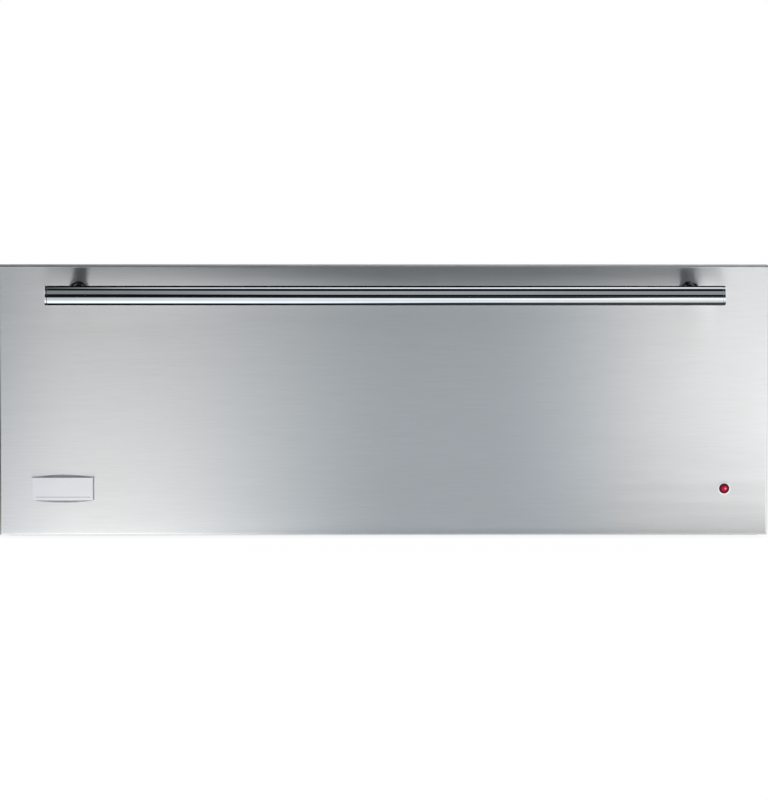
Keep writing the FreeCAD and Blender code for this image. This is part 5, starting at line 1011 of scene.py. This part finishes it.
# %% Grow the heater
HEATER_Z, HEATER_END = 36.8, 243.5
HEATER_REAR, HEATER_FRONT, HEATER_TAIL = 190.0, -100.0, -165.0
runs = [-32.0, -96.0, -160.0, -224.0, -288.0]
corners = [(runs[0], HEATER_END)]
for index, (x, after) in enumerate(zip(runs, runs[1:])):
    turn_y = (HEATER_FRONT, HEATER_REAR)[index % 2]
    corners += [(x, turn_y), (after, turn_y)]
corners += [(runs[-1], HEATER_TAIL)]
corners += [(-x, y) for x, y in reversed(corners)]
route = [(x, y, HEATER_Z) for x, y in corners]
links = [(index, index + 1) for index in range(len(route) - 1)]
ON_LINER = ("chassis", "element_sheath")
sheath = grow("heater_sheath", RODS, route, SHEATH, *ON_LINER, "heating_element", edges=links,
              Radius=4 * MM, Bend=22 * MM, Bend_steps=12, Sides=28)
blades = [((x, 249.4, HEATER_Z), (6.3, 13.2, 0.8)) for x in (runs[0], -runs[0])]
eased_bars("heater_blades", blades, 0.15, 2, SLIDE_ZINC, *ON_LINER)
print("heater:", len(sheath.data.polygons), "faces")

# %% [markdown]
# ## The wire rack
# Plates stand on a welded rack over the pan's floor, so that warm air gets under them. Its
# frame is a bent rod; across it lie nineteen straight wires at one pitch, so the second
# tree is a line of points with a straight wire on each.

# %% The tree for straight wires, and the rack
def wires_tree():
    tree, give = geometry_tree("straight wires", [
        ("Count", COUNT, 19), ("Pitch", VALUE, 27 * MM), ("Length", VALUE, 360 * MM),
        ("Radius", VALUE, 1.6 * MM), ("Sides", COUNT, 16)])
    points = point_rows(tree, give, xyz(tree, give["Pitch"]))
    wire = get(tree, "GeometryNodeMeshCylinder", {
        "Vertices": give["Sides"], "Side Segments": 1, "Radius": give["Radius"],
        "Depth": give["Length"]})
    laid = get(tree, "GeometryNodeTransform", {
        "Geometry": wire, "Rotation": (math.pi / 2, 0, 0)})
    return close_tree(tree, give, on_points(points, laid))


WIRES = wires_tree()
RACK_X, RACK_FRONT, RACK_BACK, RACK_Z, RACK_CORNER = 285.783, -175.0, 188.7, 64.4, 16.0
FRAME_R, WIRE_R, WIRE_COUNT = 2.6, 1.6, 19
loop = [(x, y, RACK_Z) for x, y in ((-RACK_X, RACK_FRONT), (RACK_X, RACK_FRONT),
                                    (RACK_X, RACK_BACK), (-RACK_X, RACK_BACK))]
links = [(0, 1), (1, 2), (2, 3), (3, 0)]
IN_PAN = (WIRE_STEEL, "drawer", "stainless_polished", "wire_rack")
grow("rack_frame", RODS, loop, *IN_PAN, edges=links, Radius=FRAME_R * MM,
     Bend=RACK_CORNER * MM, Bend_steps=10, Sides=24)
pitch = 2 * (RACK_X - RACK_CORNER) / (WIRE_COUNT + 1)
start = [(-RACK_X + RACK_CORNER + pitch, (RACK_FRONT + RACK_BACK) / 2, RACK_Z + 3.56)]
grow("rack_wires", WIRES, start, *IN_PAN, Count=WIRE_COUNT, Pitch=pitch * MM,
     Radius=WIRE_R * MM, Length=(RACK_BACK - RACK_FRONT + 2 * FRAME_R) * MM)


def rack_feet():
    form = bmesh.new()
    for side in (-1, 1):
        for y in (RACK_FRONT, RACK_BACK):
            foot = [(0, 0), (1.9, 0), (2.6, 0.7), (2.6, 11.4), (0, 11.4)]
            turned(form, foot, (side * RACK_X * 0.7, y, 52.8), UP, 24)
    smooth_piece("rack_feet", form, *IN_PAN)


rack_feet()
print("rack:", WIRE_COUNT, "wires at", round(pitch, 2), "mm pitch")

# %% [markdown]
# ## The knob
# The knob's flutes and skirt are moulded, and CAD has them, so a smooth copy keeps the shape.
# What CAD lacks is the white paint in its pointer groove, a thin eased bar of its own.

# %% Knob and its pointer
KNOB_X, KNOB_Y, KNOB_Z = 204.98, -236.0, 176.4
knob = smooth_copy("control_knob", "fluted_knob", KNOB_PLASTIC, "knob", "knob_plastic")
pointer = [((KNOB_X, KNOB_Y + 11.4, KNOB_Z + 16.45), (1.3, 9.6, 0.5))]
eased_bars("knob_pointer", pointer, 0.1, 2, POINTER_PAINT, "knob", "knob_plastic")
print("knob:", len(knob.data.polygons), "faces")

# %% [markdown]
# ## The dial
# Ten marks lie round the knob over its sweep of 285 degrees. Off points to the rear, and
# the heat rises clockwise. The marks are one bar, copied round by a tree that turns each
# instance by its index. There are no words or numerals.

# %% Dial plate and marks
def marks_tree():
    tree, give = geometry_tree("dial marks", [
        ("Count", COUNT, 10), ("Start", VALUE, math.pi / 2), ("Sweep", VALUE, math.radians(285)),
        ("Reach", VALUE, 22.3 * MM), ("Length", VALUE, 3 * MM), ("Width", VALUE, 0.6 * MM),
        ("Thick", VALUE, 0.05 * MM)])
    points = point_rows(tree, give, (0, 0, 0))
    size = xyz(tree, give["Length"], give["Width"], give["Thick"])
    bar = moved(get(tree, "GeometryNodeMeshCube", {"Size": size}), give["Reach"])
    share = get(tree, "GeometryNodeInputIndex") / (give["Count"] - 1.0)
    angle = give["Start"] - give["Sweep"] * share
    turn = get(tree, "FunctionNodeEulerToRotation", {0: xyz(tree, z=angle)})
    return close_tree(tree, give, on_points(points, bar, Rotation=turn))


MARKS = marks_tree()
DIAL_MARKS, DIAL_TOP = 10, 175.74
smooth_copy("dial_plate", "dial_disc", PLATE_STEEL, "drawer", "stainless_brushed", grain=True)
grow("dial_marks", MARKS, [(KNOB_X, KNOB_Y, DIAL_TOP)], INK, "drawer", "stainless_brushed",
     Count=DIAL_MARKS, Reach=22.3 * MM, Length=2.9 * MM, Width=0.55 * MM, Thick=0.1 * MM)
print("dial:", DIAL_MARKS, "marks")

# %% [markdown]
# ## Other round or folded pieces
# The pan, the liner, the gasket, the gland, the bushes and the other small turned or folded
# parts have the right shape already. A merged copy with smooth shading is all they need.
# The levers and the slides' members come in pairs, so a loop names them.

# %% Smooth copies
COPIES = [
    ("drawer_pan", "drawn_pan", DRAWN_STEEL, "drawer", "stainless_drawn"),
    ("cavity_liner", "liner_shell", ALUMINISED, "chassis", "aluminised_steel"),
    ("mouth_gasket", "gasket_loop", SILICONE, "chassis", "silicone"),
    ("front_bumpers", "bumper_pads", RUBBER, "chassis", "rubber_black"),
    ("cord_gland", "cord_gland_body", BLACK_PLASTIC, "chassis", "black_plastic"),
    ("element_bushes", "ceramic_bushes", CERAMIC, "chassis", "ceramic_white"),
    ("thermal_cutout", "cutout_body", CERAMIC, "chassis", "ceramic_white"),
    ("thermostat_body", "thermostat_case", BLACK_PLASTIC, "drawer", "black_plastic"),
    ("thermostat_sensor", "capillary_bulb", COPPER, "drawer", "copper_bulb"),
    ("thermostat_shaft", "thermostat_spindle", SCREW_ZINC, "knob", "slide_steel"),
    ("lamp_holder", "lamp_housing", BLACK_PLASTIC, "drawer", "black_plastic"),
    ("vent_slider", "vent_shutter", DRAWN_STEEL, "vent", "stainless_drawn"),
]
SIDES = ("left", "right")
COPIES += [(f"release_lever_{side}", f"{side}_lever", LEVER_PLASTIC, f"lever_{side}",
            "lever_plastic") for side in SIDES]
COPIES += [(f"slide_{part}_{side}", f"{side}_{part}_member", SLIDE_ZINC, body, "slide_steel")
           for part, body in (("outer", "chassis"), ("middle", "slide_middles"),
                              ("inner", "drawer")) for side in SIDES]
for copied in COPIES:
    piece = smooth_copy(*copied)
    print(piece.name, len(piece.data.polygons), "faces")

# %% [markdown]
# ## Pieces that stay as CAD made them
# Folded sheet with flat faces needs nothing but its finish. A CAD object keeps its mesh and
# takes its material in its own slot.

# %% Finishes on CAD nodes
KEPT = (
    (GALVANISED, ("chassis_base", "chassis_top_cover", "chassis_rear_panel", "front_frame",
                  "junction_cover", "front_backing", "drawer_side_left",
                  "drawer_side_right", "drawer_back_rail")),
    (ALUMINISED, ("element_rails", "control_housing")),
    (WADDING, ("insulation_wrap", "front_insulation")),
    (CERAMIC, ("terminal_block",)),
    (SLIDE_ZINC, [f"cage_{part}_{side}" for part in ("outer", "inner") for side in SIDES]),
)
for material, nodes in KEPT:
    for node in nodes:
        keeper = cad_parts[node]
        if not keeper.material_slots:
            keeper.data.materials.append(None)
        for holder in keeper.material_slots:
            holder.link = "OBJECT"
            holder.material = material
print("CAD nodes with new finishes:", sum(len(nodes) for _, nodes in KEPT))

# %% [markdown]
# ## The studio floor
# A pale floor holds the object's shadow. To the camera, and in reflections, it is the white
# of its own colour; light that bounces off it is what a real pale floor gives. Light Path
# tells the two apart, so no extra light falls on the object to make the floor white. The
# shadow only has to show near the object, so far out the floor is plain white and meets the
# white of the world with no seam.

# %% Floor
WHITE = (1, 1, 1, 1)


def seen_by_eye_or_mirror(tree):
    path = outputs_of(tree, "ShaderNodeLightPath")
    seen = path["Is Camera Ray"].maths("MAXIMUM", path["Is Glossy Ray"])
    return seen.maths("MAXIMUM", path["Is Transmission Ray"])


def floor_material():
    material, tree = new_material("pale floor")
    seen = seen_by_eye_or_mirror(tree)
    pale = seen.ramp(0.0, 1.0, 0.82, 1.0)
    matte = get(tree, "ShaderNodeBsdfDiffuse", {"Color": get(
        tree, "ShaderNodeCombineColor", {0: pale, 1: pale, 2: pale})})
    white = get(tree, "ShaderNodeEmission", {"Color": WHITE, "Strength": 1.0})
    reach = object_place(tree).vectors("LENGTH", output="Value")
    share = seen * reach.ease(0.7, 2.4, 0.88, 1.0)
    both = get(tree, "ShaderNodeMixShader", {0: share, 1: matte, 2: white})
    add(tree, "ShaderNodeOutputMaterial", {0: both})
    return material


def strip_card(name, rows, material):
    """A card through rows of points, joined in order, in metres."""
    form = bmesh.new()
    lines = [[form.verts.new(point) for point in row] for row in rows]
    for low, high in zip(lines, lines[1:]):
        form.faces.new((low[0], low[1], high[1], high[0]))
    return piece_from(name, form, material)


def level_card(name, half, near, far, z, material):
    return strip_card(name, [[(-half, y, z), (half, y, z)] for y in (near, far)], material)


floor = level_card("studio_floor", 40, -40, 40, -0.0004, floor_material())
print("floor laid")

# %% [markdown]
# ## Cards for the steel to reflect
# Polished steel has no colour of its own: it shows the room. A studio surrounds it with
# cards, some light and some black, and their edges become the crisp lines along the handle.
# A curved card stands over the object like a tunnel, and a bright one lies on the floor
# before it. The brushed front spreads what it mirrors up and down but hardly sideways, so
# the lights on the floor card, one at each side, become tall soft bands on it. Beyond the
# front's right end the floor card is dimmed, or the front would turn white when it is seen
# from its left. Only reflections see the cards, so they neither light the floor nor hide
# the object.

# %% Brightness of the cards
TUNNEL_R, CARD_HALF = 2.75, 1.4
AXIS_Y, AXIS_Z, FRONT_FACE = BAR_Y * MM, BAR_Z * MM, FRONT_Y * MM
SKY_TINT = (0.925, 1.0, 1.06, 1.0)


def card_material(name, build, one_sided=False):
    """An emitting card; build gives its brightness and how neutral its tint is."""
    material, tree = new_material(name)
    x, y, z = outputs_of(tree, "ShaderNodeSeparateXYZ", {0: object_place(tree)}).values()
    strength, neutral = build(x, y, z)
    strength = x.maths("ABSOLUTE").ease(0.8, CARD_HALF).mix(strength, 1.0)
    tint = mix_colours(tree, neutral, SKY_TINT, WHITE)
    glow = get(tree, "ShaderNodeEmission", {"Color": tint, "Strength": strength})
    if one_sided:
        behind = get(tree, "ShaderNodeNewGeometry", output="Backfacing")
        clear = get(tree, "ShaderNodeBsdfTransparent")
        glow = get(tree, "ShaderNodeMixShader", {0: behind, 1: glow, 2: clear})
    add(tree, "ShaderNodeOutputMaterial", {0: glow})
    return material


def floor_glow(x, y, z):
    """Two soft lights on the floor, left and right, and a black cloth beyond them."""
    ahead = FRONT_FACE - y
    x = (x - ahead * 0.0182) / (1.0 + ahead * 0.2)
    near = ahead.ease(0.3, 0.42, 1.0, 0.0)
    left = x.ease(-0.50, -0.29) * x.ease(-0.27, 0.03, 1.0, 0.0)
    gap = x.ease(-0.6, -0.38, -0.5, 0.0)
    light = near.mix(1.10, 0.805) + (left + gap) * near.mix(0.484, 1.052)
    close = ahead.ease(0.05, 0.2, 1.0, 0.0)
    light = light + x.ease(0.10, 0.40) * close.mix(1.55, 0.46)
    cloth = x.ease(-0.2, 0.3, 1.1, 1.5)
    total = light * (ahead / cloth).ease(0.93, 1.07, 1.0, 0.0) + 0.012
    sill = ahead.ease(0.003, 0.011, 1.0, 0.0)
    total = total * sill.mix(1.0, x.ease(-0.2, -0.02, 1.2, 0.5))
    total = total * x.ease(0.45, 0.64, 1.0, 0.3)
    return total, left.maths("MAXIMUM", x.ease(0.16, 0.27))


def tunnel_glow(x, y, z):
    """Black at eye level, a grey card above it, and a bright strip overhead."""
    angle = (z - AXIS_Z).maths("ARCTAN2", AXIS_Y - y) * (180 / math.pi)
    side = x.ease(-0.45, 0.0)
    top, bottom = (side.maths("MULTIPLY_ADD", lean, angle) for lean in (7.0, 5.5))
    shade_of_grey = x.ease(-0.42, -0.05, 0.225, 0.365) - x.ease(0.1, 0.5, 0.0, 0.07)
    grey = bottom.ease(18.3, 22.3) * top.ease(62.5, 66.5, 1.0, 0.0) * shade_of_grey
    end = angle - x.ease(0.1, 0.5) * 8.0
    power = x.ease(-0.48, -0.25, 0.08, 0.72) + (
        x.ease(-0.2, 0.1, 0.0, 0.24) - x.ease(0.36, 0.56, 0.0, 0.17))
    strip = angle.ramp(90.5, 92.5) * end.ramp(113.5, 115.5, 1.0, 0.0) * power
    return grey + strip + 0.006, 0.0


def tray_glow(x, y, z):
    """Black close to the tube and far from it, bright between two edges; ahead is in mm."""
    ahead = (AXIS_Y - y) / MM
    near = ahead - x.ease(-0.1, 0.12, 0.0, 1.4) - x.ease(0.15, 0.3, 0.0, 0.3)
    far = ahead + x.ease(-0.32, 0.12, -4.0, 4.0) - x.ease(0.17, 0.3, 0.0, 6.5)
    rim = x.ramp(-0.19, 0.31, 0.35, -0.12) * ahead.ease(8.5, 13.5, 1.0, 0.0)
    beyond = x.ramp(-0.32, 0.12, -0.16, 0.23) * ahead.ease(11.0, 18.0)
    lit = near.ease(5.2, 6.8) * far.ease(25.5, 30.5, 1.17, 0.0)
    glow = (rim + beyond + 0.66) * lit + x.ramp(-0.1, 0.28, 0.015, 0.06)
    return glow, x.ease(0.05, 0.28) * 0.6


def black_glow(x, y, z):
    return 0.004, 1.0


print("card brightness ready")

# %% [markdown]
# Small cards stand close to the front, taped up as in any studio. A tray lies just
# under the tube and a black comb stands behind it. Each is seen from the tube's side only,
# so they draw the tube's lines and leave the front alone. A small black flag close to the
# left fold darkens it.

# %% Put the cards up
TUNNEL_START, TUNNEL_END, TUNNEL_STEPS = -5.1, 150.0, 64
CARD_Z, TRAY_Z, COMB_Y, COMB_X, FLAG_X = 0.0015, AXIS_Z - 0.0097, -0.3, 0.345, -0.388


def put_up(thing):
    """Leaves a card to reflections alone."""
    for ray in ("camera", "diffuse", "transmission", "volume_scatter", "shadow"):
        setattr(thing, "visible_" + ray, False)


def overhead(angle):
    turn = math.radians(angle)
    return AXIS_Y - TUNNEL_R * math.cos(turn), max(AXIS_Z + TUNNEL_R * math.sin(turn), 0.002)


sweep = TUNNEL_END - TUNNEL_START
arch = [overhead(TUNNEL_START + sweep * step / TUNNEL_STEPS) for step in range(TUNNEL_STEPS + 1)]
put_up(strip_card("card_tunnel", [[(-CARD_HALF, y, z), (CARD_HALF, y, z)] for y, z in arch],
                  card_material("tunnel card", tunnel_glow)))
put_up(level_card("front_card", CARD_HALF, arch[0][0], FRONT_FACE - 0.001, CARD_Z,
                  card_material("front card", floor_glow)))
under = [(-0.338, -0.345), (-0.329, -0.343), (-0.322, -0.338), (-0.2, -0.336),
         (0.0, -0.319), (0.312, -0.318), (0.32, -0.343), (0.342, -0.345)]
put_up(strip_card("tray_card", [[(x, y, TRAY_Z), (x, AXIS_Y - 0.1, TRAY_Z)] for x, y in under],
                  card_material("tray card", tray_glow, one_sided=True)))
put_up(strip_card("comb_card", [[(x, COMB_Y, AXIS_Z + 0.006), (x, COMB_Y, AXIS_Z + 0.042)]
                                for x in (COMB_X, -COMB_X)],
                  card_material("comb card", black_glow, one_sided=True)))
put_up(strip_card("left_flag", [[(FLAG_X, y, 0.0), (FLAG_X, y, 0.29)] for y in (-0.302, -0.27)],
                  card_material("black card", black_glow)))
print("cards: a tunnel of", TUNNEL_R, "m radius, one on the floor, three near the front")

# %% [markdown]
# ## Lamps and the world
# Three large area lamps light what is not mirror bright, softly and from above, and the
# world fills in. The world is white to the camera and in reflections, and grey as a light.

# %% Lamps and world
LAMP_AIM = Vector((0, 0, 0.1))


def soft_lamp(name, place, size, power):
    lamp = bpy.data.lights.new(name, "AREA")
    lamp.shape, lamp.size, lamp.size_y, lamp.energy = "RECTANGLE", size[0], size[1], power
    holder = bpy.data.objects.new(name, lamp)
    holder.location = place
    holder.rotation_euler = (LAMP_AIM - Vector(place)).to_track_quat("-Z", "Y").to_euler()
    holder.visible_camera = False
    holder.visible_glossy = False
    bpy.context.collection.objects.link(holder)


soft_lamp("key_softbox", (-1.6, -2.4, 2.6), (1.6, 1.2), 60)
soft_lamp("fill_softbox", (2.0, -1.8, 2.2), (1.4, 1.4), 34)
soft_lamp("rear_softbox", (0.4, 2.6, 2.4), (2.0, 1.0), 34)


def studio_world():
    world = bpy.data.worlds.new("studio_world")
    bpy.context.scene.world = world
    world.use_nodes = True
    tree = world.node_tree
    tree.nodes.clear()
    strength = seen_by_eye_or_mirror(tree).ramp(0.0, 1.0, 0.5, 1.0)
    sky = get(tree, "ShaderNodeBackground", {"Color": WHITE, "Strength": strength})
    add(tree, "ShaderNodeOutputWorld", {0: sky})


studio_world()
bpy.context.scene.view_settings.view_transform = "Standard"
print("three soft lamps and a white world")
